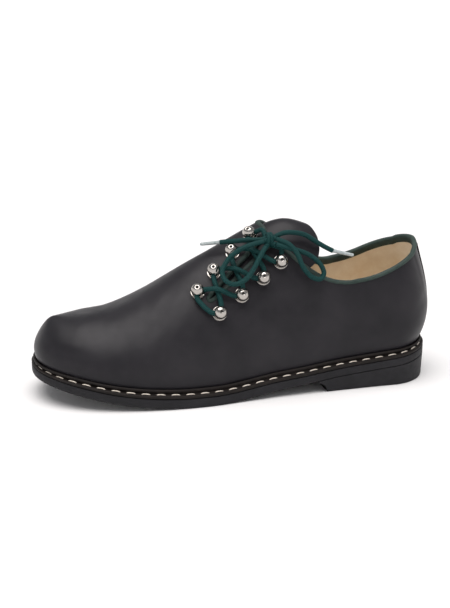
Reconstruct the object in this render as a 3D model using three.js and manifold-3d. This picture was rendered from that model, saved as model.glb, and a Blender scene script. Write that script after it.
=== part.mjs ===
// A low side-laced leather folk shoe, the left one of a pair, standing empty on its sole.
// Millimetres, +Z up. The toe points along -X and the outer side faces -Y.
// The upper, tongue, binding and laces all follow one function, lastPoint, which gives the
// surface of the last from two coordinates: round, the share of the way round the sole's
// outline from heel to toe, and up, from 0 at the foot of the outer side over the ridge at 1
// to 2 at the foot of the inner side.
import * as THREE from 'three';
import { mergeVertices } from 'three/addons/utils/BufferGeometryUtils.js';
import Module from 'manifold-3d';

// Driving sizes of the shoe.
const SOLE_LENGTH = 302;
const BALL_WIDTH = 104; // widest part of the sole
const INSTEP_HEIGHT = 104; // ridge of the last above the sole, at the throat
const HEEL_HEIGHT = 19; // under the outsole at the very back
const TOE_SPRING = 17.8;
const OUTSOLE_THICKNESS = 8;
const CLEARANCE = 0.3; // between pieces that meet

// Walls, edges and fittings.
const WALL = 2.4; // leather and lining together
const WELT_REACH = 7.5; // sole edge beyond the foot of the upper
const WELT_THICKNESS = 3;
const RIB_WIDTH = 2.4;
const RIB_HEIGHT = 2.8; // above the welt
const EDGE_BEVEL = 0.9;
const HEEL_TAPER = 0.6;
const INSOLE_THICKNESS = 3;
const TONGUE_THICKNESS = 2;
const BINDING_THICKNESS = 3.7; // of the roll, across the leather
const BINDING_HEIGHT = 3.5; // of the roll, along the leather
const BINDING_DEPTH = 0.8; // middle of the roll below the leather's face
const STRIP_WIDTH = 15;
const STRIP_THICKNESS = 1.2;
const LACE_DIAMETER = 3.6;
const LACE_LIFT = 3.7; // middle of the lace above the leather
const AGLET_DIAMETER = 2.6;
const AGLET_LENGTH = 16;
const BALL_DIAMETER = 9; // of the ball-shaped lace eyelets
const BALL_MIDDLE = 4.2; // above their foot
const FLANGE_DIAMETER = 10.8;
const FLANGE_THICKNESS = 0.8;
const EYELET_BORE = 5.4;
const BORE_TURN = 0.66; // of the bore's two mouths towards the slit, in radians

// Plan of the sole from heel (at 0) to toe (at 1), in shares of BALL_WIDTH: the middle line,
// + to the inner side, and half the width before the ends are rounded.
const PLAN = [
  { at: 0.0, centre: 0.0, half: 0.362 },
  { at: 0.12, centre: 0.002, half: 0.396 },
  { at: 0.25, centre: -0.012, half: 0.394 },
  { at: 0.38, centre: -0.036, half: 0.392 },
  { at: 0.5, centre: -0.046, half: 0.413 },
  { at: 0.6, centre: -0.035, half: 0.46 },
  { at: 0.7, centre: 0.0, half: 0.494 },
  { at: 0.8, centre: 0.035, half: 0.5 },
  { at: 0.9, centre: 0.055, half: 0.495 },
  { at: 1.0, centre: 0.07, half: 0.484 },
];
const HEEL_ROUND = { share: 0.12, power: 2.2 };
const TOE_ROUND = { share: 0.27, power: 2.36 };

// Profile of the sole: rise is the share of HEEL_HEIGHT and spring the share of TOE_SPRING
// under the outsole, thickness the share of OUTSOLE_THICKNESS.
const SOLE = [
  { at: 0.0, rise: 1.0, spring: 0.0, thickness: 0.75 },
  { at: 0.12, rise: 0.79, spring: 0.0, thickness: 0.75 },
  { at: 0.27, rise: 0.585, spring: 0.0, thickness: 0.75 },
  { at: 0.36, rise: 0.39, spring: 0.0, thickness: 0.81 },
  { at: 0.44, rise: 0.247, spring: 0.0, thickness: 0.86 },
  { at: 0.52, rise: 0.06, spring: 0.0, thickness: 0.9 },
  { at: 0.58, rise: 0.0, spring: 0.0, thickness: 0.9 },
  { at: 0.64, rise: 0.0, spring: 0.0, thickness: 0.9 },
  { at: 0.7, rise: 0.0, spring: 0.056, thickness: 0.88 },
  { at: 0.76, rise: 0.0, spring: 0.157, thickness: 0.86 },
  { at: 0.82, rise: 0.0, spring: 0.309, thickness: 0.85 },
  { at: 0.91, rise: 0.0, spring: 0.64, thickness: 0.82 },
  { at: 1.0, rise: 0.0, spring: 1.0, thickness: 0.76 },
];
const BREAST = { top: 0.342, middle: 0.326, bottom: 0.321 }; // front of the heel, as round

// Ridge of the last: height above the sole as a share of INSTEP_HEIGHT, offset from the
// sole's middle line as a share of BALL_WIDTH.
const RIDGE = [
  { at: 0.08, height: 0.886, offset: 0.0 },
  { at: 0.25, height: 0.948, offset: 0.0 },
  { at: 0.38, height: 1.091, offset: 0.05 },
  { at: 0.48, height: 1.007, offset: 0.095 },
  { at: 0.56, height: 0.909, offset: 0.085 },
  { at: 0.64, height: 0.788, offset: 0.06 },
  { at: 0.72, height: 0.638, offset: 0.05 },
  { at: 0.8, height: 0.504, offset: 0.04 },
  { at: 0.86, height: 0.44, offset: 0.02 },
  { at: 0.917, height: 0.388, offset: 0.0 },
  { at: 0.96, height: 0.366, offset: 0.0 },
];
const RIDGE_INSET = 21; // of its ends from the ends of the sole
const RIDGE_EVEN = 0.25; // how far the sections fan out evenly instead of standing square
const HEEL_REACH = { distance: 10, share: 0.3 }; // of the ridge's end back over the heel

// Sections of the last by station of their foot: power of the rounded outer and inner side,
// and bulge beyond the foot as a share of INSTEP_HEIGHT.
const SECTION = [
  { at: 0.0, outer: 3.0, inner: 3.0, bulge: 0.1 },
  { at: 0.06, outer: 2.8, inner: 2.8, bulge: 0.086 },
  { at: 0.15, outer: 2.5, inner: 2.5, bulge: 0.06 },
  { at: 0.35, outer: 2.1, inner: 2.2, bulge: 0.042 },
  { at: 0.55, outer: 2.0, inner: 2.1, bulge: 0.037 },
  { at: 0.75, outer: 2.2, inner: 2.3, bulge: 0.037 },
  { at: 0.88, outer: 2.45, inner: 2.45, bulge: 0.036 },
  { at: 0.94, outer: 2.55, inner: 2.55, bulge: 0.046 },
  { at: 1.0, outer: 2.6, inner: 2.6, bulge: 0.058 },
];

// Top edge of the upper in three runs: the outer collar from the heel to the slit, the flap
// from the slit over the ridge, and on along the inner collar back to the heel.
const COLLAR_OUTER = [
  { round: 0.0, up: 0.583 },
  { round: 0.069, up: 0.525 },
  { round: 0.146, up: 0.472 },
  { round: 0.214, up: 0.425 },
  { round: 0.285, up: 0.42 },
  { round: 0.332, up: 0.446 },
  { round: 0.368, up: 0.507 },
  { round: 0.396, up: 0.596 },
];
const COLLAR_INNER = [
  { round: 0.429, up: 0.864 },
  { round: 0.434, up: 1.0 },
  { round: 0.42, up: 1.168 },
  { round: 0.386, up: 1.384 },
  { round: 0.326, up: 1.517 },
  { round: 0.24, up: 1.54 },
  { round: 0.146, up: 1.475 },
  { round: 0.069, up: 1.42 },
  { round: 0.0, up: 1.417 },
];

// The slit and its two rows of eyelets. along is measured from the slit's front end, and
// flap and quarter are the distances of the rows from its middle line, in millimetres.
const SLIT_FRONT = { round: 0.568, up: 0.5205 };
const SLIT_MOUTH = { round: 0.421, up: 0.717 };
const SLIT_HALF_FRONT = 2.3;
const SLIT_HALF_MOUTH = 4.3;
const EYELET_ROWS = [
  { along: -3, flap: 9.8, quarter: 12.1 },
  { along: 17, flap: 11.7, quarter: 14.4 },
  { along: 36.8, flap: 12.1, quarter: 17.3 },
  { along: 55.5, flap: 12.2, quarter: 18.5 },
];

// The strands of the lace: how far ahead of the first row the bar crosses the slit, how far
// the lace eases the bend of each bore, and where the strands end, in millimetres past the
// last row and across from the slit's middle line.
const BAR_AHEAD = 5.5;
const BEND_EASE = 0.45;
const STRAND_ENDS = {
  quarter: { beyond: 7, across: -13 },
  flap: { beyond: 7.5, across: 6.5 },
};

// Tongue: its lower edge on the outer side and upper edge past the ridge, from its rounded
// end behind the throat to its tip ahead of the slit.
const TONGUE = [
  { round: 0.302, low: 0.82, high: 1.06 },
  { round: 0.306, low: 0.72, high: 1.13 },
  { round: 0.315, low: 0.64, high: 1.19 },
  { round: 0.33, low: 0.58, high: 1.235 },
  { round: 0.35, low: 0.52, high: 1.26 },
  { round: 0.39, low: 0.46, high: 1.27 },
  { round: 0.44, low: 0.41, high: 1.25 },
  { round: 0.5, low: 0.38, high: 1.18 },
  { round: 0.55, low: 0.38, high: 1.0 },
  { round: 0.59, low: 0.4, high: 0.8 },
  { round: 0.61, low: 0.45, high: 0.68 },
];

// The bow, as it lies in the photo. Each route is chosen by hand, in millimetres in the
// shoe's own frame, from the knot outwards.
const KNOT = { x: 20.3, y: -22.5, z: 113, halfWidth: 4.6, halfDepth: 4.4, halfHeight: 5.9 };
const ROUTES = {
  lace_end_front: [
    [15.5, -20.9, 113.0],
    [9.6, -19.7, 113.0],
    [4.0, -18.6, 112.9],
    [-2.6, -15.8, 112.0],
    [-7.6, -12.2, 111.2],
    [-12.4, -8.5, 110.1],
  ],
  lace_end_back: [
    [25.0, -22.0, 115.3],
    [31.3, -22.6, 117.6],
    [38.5, -21.9, 117.5],
    [48.1, -20.9, 115.1],
    [55.6, -21.8, 110.4],
    [63.2, -22.3, 105.7],
    [69.1, -22.6, 102.6],
  ],
  lace_loop_front: [
    [15.6, -24.9, 112.6],
    [6.0, -26.6, 110.9],
    [-2.0, -26.2, 107.9],
    [-8.8, -26.6, 103.4],
    [-13.7, -28.0, 98.1],
    [-16.5, -30.7, 93.1],
    [-15.3, -34.7, 88.1],
    [-10.8, -37.2, 85.5],
    [-5.2, -38.2, 86.2],
    [0.8, -37.4, 90.0],
    [5.9, -35.0, 95.7],
    [11.2, -31.5, 103.0],
    [16.6, -27.0, 108.9],
  ],
  lace_loop_back: [
    [25.3, -24.9, 114.0],
    [33.6, -30.6, 110.3],
    [38.5, -34.5, 103.5],
    [41.5, -37.7, 95.3],
    [48.2, -38.3, 87.6],
    [55.6, -37.0, 85.5],
    [58.3, -35.4, 89.4],
    [55.6, -34.0, 95.9],
    [48.2, -31.8, 102.3],
    [40.7, -31.0, 105.6],
    [32.2, -29.8, 108.2],
    [24.6, -26.8, 110.4],
  ],
};
const AGLET_TIPS = { front: [-26.4, 1.4, 107.2], back: [83.9, -25.9, 99.2] };

const lerp = (a, b, t) => a + (b - a) * t;

// Smooth column of a table: cubics through its rows, level at a row that is a high or low.
function column(table, name, key = 'at') {
  const x = table.map((row) => row[key]);
  const y = table.map((row) => row[name]);
  const last = x.length - 1;
  const slope = x.map((_, i) => {
    const turns = i > 0 && i < last && (y[i] - y[i - 1]) * (y[i + 1] - y[i]) <= 0;
    const a = Math.max(0, i - 1);
    const b = Math.min(last, i + 1);
    return turns ? 0 : (y[b] - y[a]) / (x[b] - x[a]);
  });
  return (value) => {
    const v = Math.min(x[last], Math.max(x[0], value));
    let i = 0;
    while (i < last - 1 && v > x[i + 1]) i += 1;
    const step = x[i + 1] - x[i];
    const t = (v - x[i]) / step;
    const t2 = t * t;
    const t3 = t2 * t;
    return (
      y[i] * (2 * t3 - 3 * t2 + 1) +
      slope[i] * step * (t3 - 2 * t2 + t) +
      y[i + 1] * (3 * t2 - 2 * t3) +
      slope[i + 1] * step * (t3 - t2)
    );
  };
}

const centreAt = column(PLAN, 'centre');
const halfAt = column(PLAN, 'half');
const riseAt = column(SOLE, 'rise');
const springAt = column(SOLE, 'spring');
const thicknessAt = column(SOLE, 'thickness');
const ridgeHeightAt = column(RIDGE, 'height');
const ridgeOffsetAt = column(RIDGE, 'offset');
const powerAt = { outer: column(SECTION, 'outer'), inner: column(SECTION, 'inner') };
const bulgeAt = column(SECTION, 'bulge');

const stationX = (station) => (0.5 - station) * SOLE_LENGTH;
const stationOf = (x) => 0.5 - x / SOLE_LENGTH;
const soleBottom = (x) =>
  HEEL_HEIGHT * riseAt(stationOf(x)) + TOE_SPRING * springAt(stationOf(x));
const soleTop = (x) => soleBottom(x) + OUTSOLE_THICKNESS * thicknessAt(stationOf(x));
const ridgeZ = (x) => soleTop(x) + INSTEP_HEIGHT * ridgeHeightAt(stationOf(x));
const ridgeY = (x) => BALL_WIDTH * (centreAt(stationOf(x)) + ridgeOffsetAt(stationOf(x)));

// Rounds the ends of the sole's outline as parts of a superellipse.
function endRound(station) {
  const round = (left, end) => (1 - (left / end.share) ** end.power) ** (1 / end.power);
  if (station < HEEL_ROUND.share) return round(HEEL_ROUND.share - station, HEEL_ROUND);
  if (station > 1 - TOE_ROUND.share) return round(station - 1 + TOE_ROUND.share, TOE_ROUND);
  return 1;
}

// One side of the sole's outline, finely sampled, with the share of its length run so far.
function outlineSide(turn) {
  const samples = 600;
  const points = [{ x: stationX(0), y: 0, run: 0 }];
  for (let i = 1; i <= samples; i += 1) {
    const station = 0.5 - 0.5 * Math.cos((Math.PI * i) / samples);
    const half = i === samples ? 0 : halfAt(station) * endRound(station);
    const x = stationX(station);
    const y = (centreAt(station) + turn * half) * BALL_WIDTH;
    const before = points[i - 1];
    points.push({ x, y, run: before.run + Math.hypot(x - before.x, y - before.y) });
  }
  const length = points[samples].run;
  return points.map((p) => ({ x: p.x, y: p.y, run: p.run / length }));
}
const OUTLINE = { outer: outlineSide(-1), inner: outlineSide(1) };
const otherSide = (side) => (side === 'outer' ? 'inner' : 'outer');

// Point of the outline. round below 0 or over 1 goes on past the end to the other side.
function outlinePoint(round, side) {
  if (round < 0) return outlinePoint(-round, otherSide(side));
  if (round > 1) return outlinePoint(2 - round, otherSide(side));
  const points = OUTLINE[side];
  let low = 0;
  let high = points.length - 1;
  while (high - low > 1) {
    const middle = Math.floor((low + high) / 2);
    if (points[middle].run > round) high = middle;
    else low = middle;
  }
  const t = (round - points[low].run) / (points[high].run - points[low].run);
  return {
    x: lerp(points[low].x, points[high].x, t),
    y: lerp(points[low].y, points[high].y, t),
  };
}

const STEP = 0.004; // in round or up, for slopes

// Outward direction of the outline, in plan.
function outlineNormal(round, side) {
  const a = outlinePoint(round - STEP, side);
  const b = outlinePoint(round + STEP, side);
  const length = Math.hypot(b.x - a.x, b.y - a.y);
  const turn = side === 'outer' ? 1 : -1;
  return { x: (turn * (a.y - b.y)) / length, y: (turn * (b.x - a.x)) / length };
}

// The outline moved inwards by a distance.
function insetPoint(round, side, inset) {
  const p = outlinePoint(round, side);
  const n = outlineNormal(round, side);
  return { x: p.x - n.x * inset, y: p.y - n.y * inset };
}

// Place on the ridge that a section ends at, and the ridge's slope there along X.
function ridgePoint(round) {
  const outer = outlinePoint(round, 'outer');
  const inner = outlinePoint(round, 'inner');
  const share = lerp(stationOf((outer.x + inner.x) / 2), round, RIDGE_EVEN);
  const back = HEEL_REACH.distance * Math.max(0, 1 - share / HEEL_REACH.share) ** 2;
  const x = (0.5 - share) * (SOLE_LENGTH - 2 * RIDGE_INSET) + back;
  return { x, y: ridgeY(x), z: ridgeZ(x), slope: (ridgeZ(x + 1) - ridgeZ(x - 1)) / 2 };
}

// Bulge of the wall beyond its foot: nothing at the foot and the ridge, 1 a third of the
// way up.
const bulgeShape = (rise) => 6.75 * rise * (1 - rise) * (1 - rise);

// The outside of the last. Each section is part of a superellipse between its foot and the
// ridge, with the bulge added.
function lastPoint(round, up) {
  if (round < 0) return lastPoint(-round, 2 - up);
  if (round > 1) return lastPoint(2 - round, 2 - up);
  const side = up <= 1 ? 'outer' : 'inner';
  const angle = ((up <= 1 ? up : 2 - up) * Math.PI) / 2;
  const foot = insetPoint(round, side, WELT_REACH);
  const ridge = ridgePoint(round);
  const station = stationOf(foot.x);
  const power = powerAt[side](station);
  const cos = Math.max(0, Math.cos(angle));
  const sin = Math.max(0, Math.sin(angle));
  const reach = (cos ** power + sin ** power) ** (-1 / power);
  const across = 1 - reach * cos;
  const rise = reach * sin;
  const normal = outlineNormal(round, side);
  const bulge = bulgeAt(station) * INSTEP_HEIGHT * bulgeShape(rise);
  const x = lerp(foot.x, ridge.x, across) + normal.x * bulge;
  const y = lerp(foot.y, ridge.y, across) + normal.y * bulge;
  const footZ = soleTop(foot.x) + CLEARANCE;
  const topZ = ridge.z + ridge.slope * (x - ridge.x);
  return new THREE.Vector3(x, y, lerp(footZ, topZ, rise));
}

// Slopes of the last along round and up, and its outward normal.
function lastSlopes(round, up) {
  const ahead = lastPoint(round + STEP, up).sub(lastPoint(round - STEP, up));
  const over = lastPoint(round, up + STEP).sub(lastPoint(round, up - STEP));
  const scale = 0.5 / STEP;
  const normal = over.clone().cross(ahead).normalize();
  return { ahead: ahead.multiplyScalar(scale), over: over.multiplyScalar(scale), normal };
}

// A point above the outside of the last, or below it with a negative lift.
function skinPoint(round, up, lift) {
  return lastPoint(round, up).addScaledVector(lastSlopes(round, up).normal, lift);
}

// Walks over the last from a place, a distance in millimetres in a direction in space.
function walk(place, direction, distance) {
  const steps = Math.max(1, Math.ceil(Math.abs(distance) / 3));
  let { round, up } = place;
  for (let i = 0; i < steps; i += 1) {
    const { ahead, over, normal } = lastSlopes(round, up);
    const way = direction.clone().addScaledVector(normal, -direction.dot(normal)).normalize();
    const aa = ahead.dot(ahead);
    const ab = ahead.dot(over);
    const bb = over.dot(over);
    const scale = distance / steps / (aa * bb - ab * ab);
    round += scale * (way.dot(ahead) * bb - way.dot(over) * ab);
    up += scale * (way.dot(over) * aa - way.dot(ahead) * ab);
  }
  return { round, up };
}

// The slit's own directions: along it towards its mouth, across it towards the flap, and up
// from the leather.
const SLIT_LENGTH = slitLength();

function slitLength() {
  const pieces = 24;
  let length = 0;
  for (let i = 0; i < pieces; i += 1) {
    const [a, b] = [i / pieces, (i + 1) / pieces].map((t) =>
      lastPoint(
        lerp(SLIT_FRONT.round, SLIT_MOUTH.round, t),
        lerp(SLIT_FRONT.up, SLIT_MOUTH.up, t),
      ),
    );
    length += a.distanceTo(b);
  }
  return length;
}

function slitCentre(along) {
  const t = along / SLIT_LENGTH;
  return {
    round: lerp(SLIT_FRONT.round, SLIT_MOUTH.round, t),
    up: lerp(SLIT_FRONT.up, SLIT_MOUTH.up, t),
  };
}

function slitFrame(place) {
  const { ahead, over, normal } = lastSlopes(place.round, place.up);
  const along = ahead
    .multiplyScalar(SLIT_MOUTH.round - SLIT_FRONT.round)
    .addScaledVector(over, SLIT_MOUTH.up - SLIT_FRONT.up)
    .normalize();
  return { along, across: normal.clone().cross(along).normalize(), normal };
}

function slitPlace(along, across) {
  const centre = slitCentre(along);
  return walk(centre, slitFrame(centre).across, across);
}

function slitPoint(along, across, lift) {
  const place = slitPlace(along, across);
  return skinPoint(place.round, place.up, lift);
}

// Faces of a body, gathered as loose triangles and merged at the end.
class Faces {
  constructor() {
    this.positions = [];
  }

  triangle(a, b, c) {
    for (const p of [a, b, c]) this.positions.push(p.x, p.y, p.z);
  }

  // The inner side is the mirror of the outer one, so its faces turn the other way.
  quad(a, b, c, d, side = 'outer') {
    if (side === 'outer') {
      this.triangle(a, b, c);
      this.triangle(a, c, d);
    } else {
      this.triangle(a, c, b);
      this.triangle(a, d, c);
    }
  }

  // Merges equal corners, drops faces with no area and turns the faces outwards.
  geometry() {
    const loose = new THREE.BufferGeometry();
    loose.setAttribute('position', new THREE.Float32BufferAttribute(this.positions, 3));
    const merged = mergeVertices(loose, 1e-3);
    const index = merged.index.array;
    const position = merged.getAttribute('position');
    const kept = [];
    const [a, b, c] = [new THREE.Vector3(), new THREE.Vector3(), new THREE.Vector3()];
    let volume = 0;
    for (let i = 0; i < index.length; i += 3) {
      const [i0, i1, i2] = index.slice(i, i + 3);
      if (i0 === i1 || i1 === i2 || i2 === i0) continue;
      kept.push([i0, i1, i2]);
      a.fromBufferAttribute(position, i0);
      b.fromBufferAttribute(position, i1);
      c.fromBufferAttribute(position, i2);
      volume += a.dot(b.cross(c));
    }
    merged.setIndex(kept.flatMap(([p, q, r]) => (volume < 0 ? [p, r, q] : [p, q, r])));
    return merged;
  }
}

// A closed body between an outer and an inner grid of points with the same numbers of rows
// and columns. loop joins the last row to the first.
function slabGeometry(outer, inner, loop = false) {
  const faces = new Faces();
  const rows = outer.length;
  const columns = outer[0].length;
  for (let i = 0; i < rows - (loop ? 0 : 1); i += 1) {
    const k = (i + 1) % rows;
    for (let j = 0; j < columns - 1; j += 1) {
      faces.quad(outer[i][j], outer[k][j], outer[k][j + 1], outer[i][j + 1]);
      faces.quad(inner[i][j], inner[i][j + 1], inner[k][j + 1], inner[k][j]);
    }
    faces.quad(outer[k][0], outer[i][0], inner[i][0], inner[k][0]);
    const end = columns - 1;
    faces.quad(outer[i][end], outer[k][end], inner[k][end], inner[i][end]);
  }
  if (!loop) {
    for (let j = 0; j < columns - 1; j += 1) {
      faces.quad(outer[0][j], outer[0][j + 1], inner[0][j + 1], inner[0][j]);
      const end = rows - 1;
      faces.quad(outer[end][j + 1], outer[end][j], inner[end][j], inner[end][j + 1]);
    }
  }
  return faces.geometry();
}

// A tube through rings of points, closed into a loop or with flat caps.
function tubeGeometry(rings, loop) {
  const faces = new Faces();
  const count = rings[0].length;
  for (let i = 0; i < rings.length - (loop ? 0 : 1); i += 1) {
    const k = (i + 1) % rings.length;
    for (let j = 0; j < count; j += 1) {
      const m = (j + 1) % count;
      faces.quad(rings[i][j], rings[k][j], rings[k][m], rings[i][m]);
    }
  }
  if (!loop) {
    const last = rings[rings.length - 1];
    for (let j = 1; j < count - 1; j += 1) {
      faces.triangle(rings[0][0], rings[0][j], rings[0][j + 1]);
      faces.triangle(last[0], last[j + 1], last[j]);
    }
  }
  return faces.geometry();
}

// A flat-ish plate whose top and bottom are ruled straight across from side to side.
// ring(round, side) gives the corner points of one section of its edge, from top to bottom.
function plateGeometry(stops, ring) {
  const faces = new Faces();
  const outer = stops.map((round) => ring(round, 'outer'));
  const inner = stops.map((round) => ring(round, 'inner'));
  const end = outer[0].length - 1;
  for (let i = 0; i < stops.length - 1; i += 1) {
    faces.quad(outer[i][0], inner[i][0], inner[i + 1][0], outer[i + 1][0]);
    faces.quad(outer[i][end], outer[i + 1][end], inner[i + 1][end], inner[i][end]);
    for (let j = 0; j < end; j += 1) {
      faces.quad(outer[i][j], outer[i + 1][j], outer[i + 1][j + 1], outer[i][j + 1]);
      faces.quad(inner[i][j], inner[i][j + 1], inner[i + 1][j + 1], inner[i + 1][j]);
    }
  }
  for (const i of [0, stops.length - 1]) {
    const turn = i === 0 ? 1 : -1;
    for (let j = 0; j < end; j += 1) {
      const corners = [outer[i][j], outer[i][j + 1], inner[i][j + 1], inner[i][j]];
      if (turn < 0) corners.reverse();
      faces.quad(...corners);
    }
  }
  return faces.geometry();
}

const evenStops = (count, from = 0, to = 1) =>
  Array.from({ length: count + 1 }, (_, i) => lerp(from, to, i / count));

const wasm = await Module();
wasm.setup();

function solidOf(geometry) {
  const bare = geometry.clone();
  bare.deleteAttribute('normal');
  bare.deleteAttribute('uv');
  const merged = mergeVertices(bare, 1e-3);
  return new wasm.Manifold(
    new wasm.Mesh({
      numProp: 3,
      vertProperties: new Float32Array(merged.getAttribute('position').array),
      triVerts: new Uint32Array(merged.index.array),
    }),
  );
}

function geometryOf(solid) {
  const mesh = solid.getMesh();
  const geometry = new THREE.BufferGeometry();
  geometry.setAttribute('position', new THREE.BufferAttribute(mesh.vertProperties, 3));
  geometry.setIndex(new THREE.BufferAttribute(mesh.triVerts, 1));
  return geometry;
}

// Outsole, heel, welt and insole.
function onSole(round, side, inset, height) {
  const p = insetPoint(round, side, inset);
  return new THREE.Vector3(p.x, p.y, soleTop(p.x) + height);
}

function underSole(round, side, inset, height) {
  const p = insetPoint(round, side, inset);
  return new THREE.Vector3(p.x, p.y, soleBottom(p.x) + height);
}

function outsoleGeometry() {
  return plateGeometry(evenStops(44), (round, side) => [
    onSole(round, side, EDGE_BEVEL, 0),
    onSole(round, side, 0, -EDGE_BEVEL),
    underSole(round, side, 0, EDGE_BEVEL),
    underSole(round, side, EDGE_BEVEL, 0),
  ]);
}

function heelGeometry() {
  return plateGeometry(evenStops(18), (share, side) => {
    const upper = underSole(share * BREAST.top, side, EDGE_BEVEL, -CLEARANCE);
    const edge = underSole(share * BREAST.top, side, 0, -CLEARANCE - EDGE_BEVEL);
    const middle = insetPoint(share * BREAST.middle, side, HEEL_TAPER / 2);
    const lower = insetPoint(share * BREAST.bottom, side, HEEL_TAPER);
    const foot = insetPoint(share * BREAST.bottom, side, HEEL_TAPER + EDGE_BEVEL);
    const middleHeight = soleBottom(middle.x) / 2;
    return [
      upper,
      edge,
      new THREE.Vector3(middle.x, middle.y, middleHeight),
      new THREE.Vector3(lower.x, lower.y, EDGE_BEVEL),
      new THREE.Vector3(foot.x, foot.y, 0),
    ];
  });
}

// Point on the outer face of the upper at a height above its foot, moved outwards.
function wallPoint(round, side, height, outwards) {
  const foot = side === 'outer' ? 0 : 2;
  const turn = side === 'outer' ? 1 : -1;
  const base = lastPoint(round, foot).z;
  let up = height / INSTEP_HEIGHT;
  for (let i = 0; i < 5; i += 1) up *= height / (lastPoint(round, foot + turn * up).z - base);
  const normal = outlineNormal(round, side);
  return lastPoint(round, foot + turn * up).add(
    new THREE.Vector3(normal.x * outwards, normal.y * outwards, 0),
  );
}

// The welt with its rolled rib against the upper, all round the shoe.
function weltGeometry() {
  const crown = WELT_THICKNESS + RIB_HEIGHT;
  const section = (round, side) => {
    const low = 0.4;
    const inner = wallPoint(round, side, low, CLEARANCE);
    const foot = insetPoint(round, side, WELT_REACH - CLEARANCE);
    return [
      new THREE.Vector3(foot.x, foot.y, soleTop(foot.x) + CLEARANCE),
      inner,
      wallPoint(round, side, crown * 0.75, CLEARANCE),
      wallPoint(round, side, crown, CLEARANCE + RIB_WIDTH * 0.35),
      wallPoint(round, side, crown * 0.88, CLEARANCE + RIB_WIDTH * 0.85),
      wallPoint(round, side, crown * 0.7, CLEARANCE + RIB_WIDTH),
      wallPoint(round, side, WELT_THICKNESS, CLEARANCE + RIB_WIDTH * 0.8),
      onSole(round, side, EDGE_BEVEL / 2, CLEARANCE + WELT_THICKNESS),
      onSole(round, side, 0, CLEARANCE + WELT_THICKNESS - EDGE_BEVEL / 2),
      onSole(round, side, 0, CLEARANCE),
    ];
  };
  const stops = evenStops(34);
  const outer = stops.map((round) => section(round, 'outer'));
  const inner = stops.map((round) => section(round, 'inner'));
  return tubeGeometry([...outer, ...inner.slice(1, -1).reverse()], true);
}

function insoleGeometry() {
  const inset = WELT_REACH + WALL + 2 * CLEARANCE;
  return plateGeometry(evenStops(36), (round, side) => [
    onSole(round, side, inset, CLEARANCE + INSOLE_THICKNESS),
    onSole(round, side, inset, CLEARANCE),
  ]);
}

// The edge of the upper as one closed path over the last: the outer collar, down one side of
// the slit, round its front end, up the other side, over the ridge and back along the inner
// collar.
function slitEdges() {
  const stops = evenStops(9);
  const down = stops.map((t) => {
    const half = lerp(SLIT_HALF_MOUTH, SLIT_HALF_FRONT, t);
    return slitPlace(SLIT_LENGTH * (1 - t), -half);
  });
  const turn = evenStops(4, -Math.PI / 2, Math.PI / 2)
    .slice(1, -1)
    .map((a) => slitPlace(-SLIT_HALF_FRONT * Math.cos(a), SLIT_HALF_FRONT * Math.sin(a)));
  const back = stops.map((t) => {
    const half = lerp(SLIT_HALF_FRONT, SLIT_HALF_MOUTH, t);
    return slitPlace(SLIT_LENGTH * t, half);
  });
  return [...down, ...turn, ...back];
}

function smoothRun(rows, count) {
  const stops = rows.map((row, i) => ({ at: i / (rows.length - 1), ...row }));
  const round = column(stops, 'round');
  const up = column(stops, 'up');
  return evenStops(count).map((t) => ({ round: round(t), up: up(t) }));
}

function edgePath() {
  const slit = slitEdges();
  const outer = smoothRun([...COLLAR_OUTER, slit[0]], 30).slice(0, -1);
  const inner = smoothRun([slit[slit.length - 1], ...COLLAR_INNER], 34).slice(1, -1);
  let path = [...outer, ...slit, ...inner];
  for (let pass = 0; pass < 2; pass += 1) {
    path = path.map((place, i) => {
      const before = edgeNeighbour(path, i, -1);
      const after = edgeNeighbour(path, i, 1);
      return {
        round: place.round / 2 + (before.round + after.round) / 4,
        up: place.up / 2 + (before.up + after.up) / 4,
      };
    });
  }
  return path;
}

// The place before or after one on the closed edge. Where the path passes the heel, round
// changes sign and up counts from the other side.
function edgeNeighbour(path, index, turn) {
  const there = path[(index + turn + path.length) % path.length];
  const acrossHeel = Math.abs(path[index].up - there.up) > 0.6;
  return acrossHeel ? { round: -there.round, up: 2 - there.up } : there;
}

// Rings of the roll around the edge, with half sizes across and along the leather.
function edgeRings(halfThickness, halfHeight, sides) {
  const path = edgePath();
  return path.map((place, i) => {
    const normal = lastSlopes(place.round, place.up).normal;
    const before = edgeNeighbour(path, i, -1);
    const after = edgeNeighbour(path, i, 1);
    const way = lastPoint(after.round, after.up).sub(lastPoint(before.round, before.up));
    const beside = way.cross(normal).normalize();
    const middle = skinPoint(place.round, place.up, -BINDING_DEPTH);
    return evenStops(sides)
      .slice(1)
      .map((t) => {
        const angle = (t - 0.5 / sides) * 2 * Math.PI;
        return middle
          .clone()
          .addScaledVector(normal, halfThickness * Math.sin(angle))
          .addScaledVector(beside, halfHeight * Math.cos(angle));
      });
  });
}

function bindingGeometry() {
  return tubeGeometry(edgeRings(BINDING_THICKNESS / 2, BINDING_HEIGHT / 2, 6), true);
}

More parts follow.
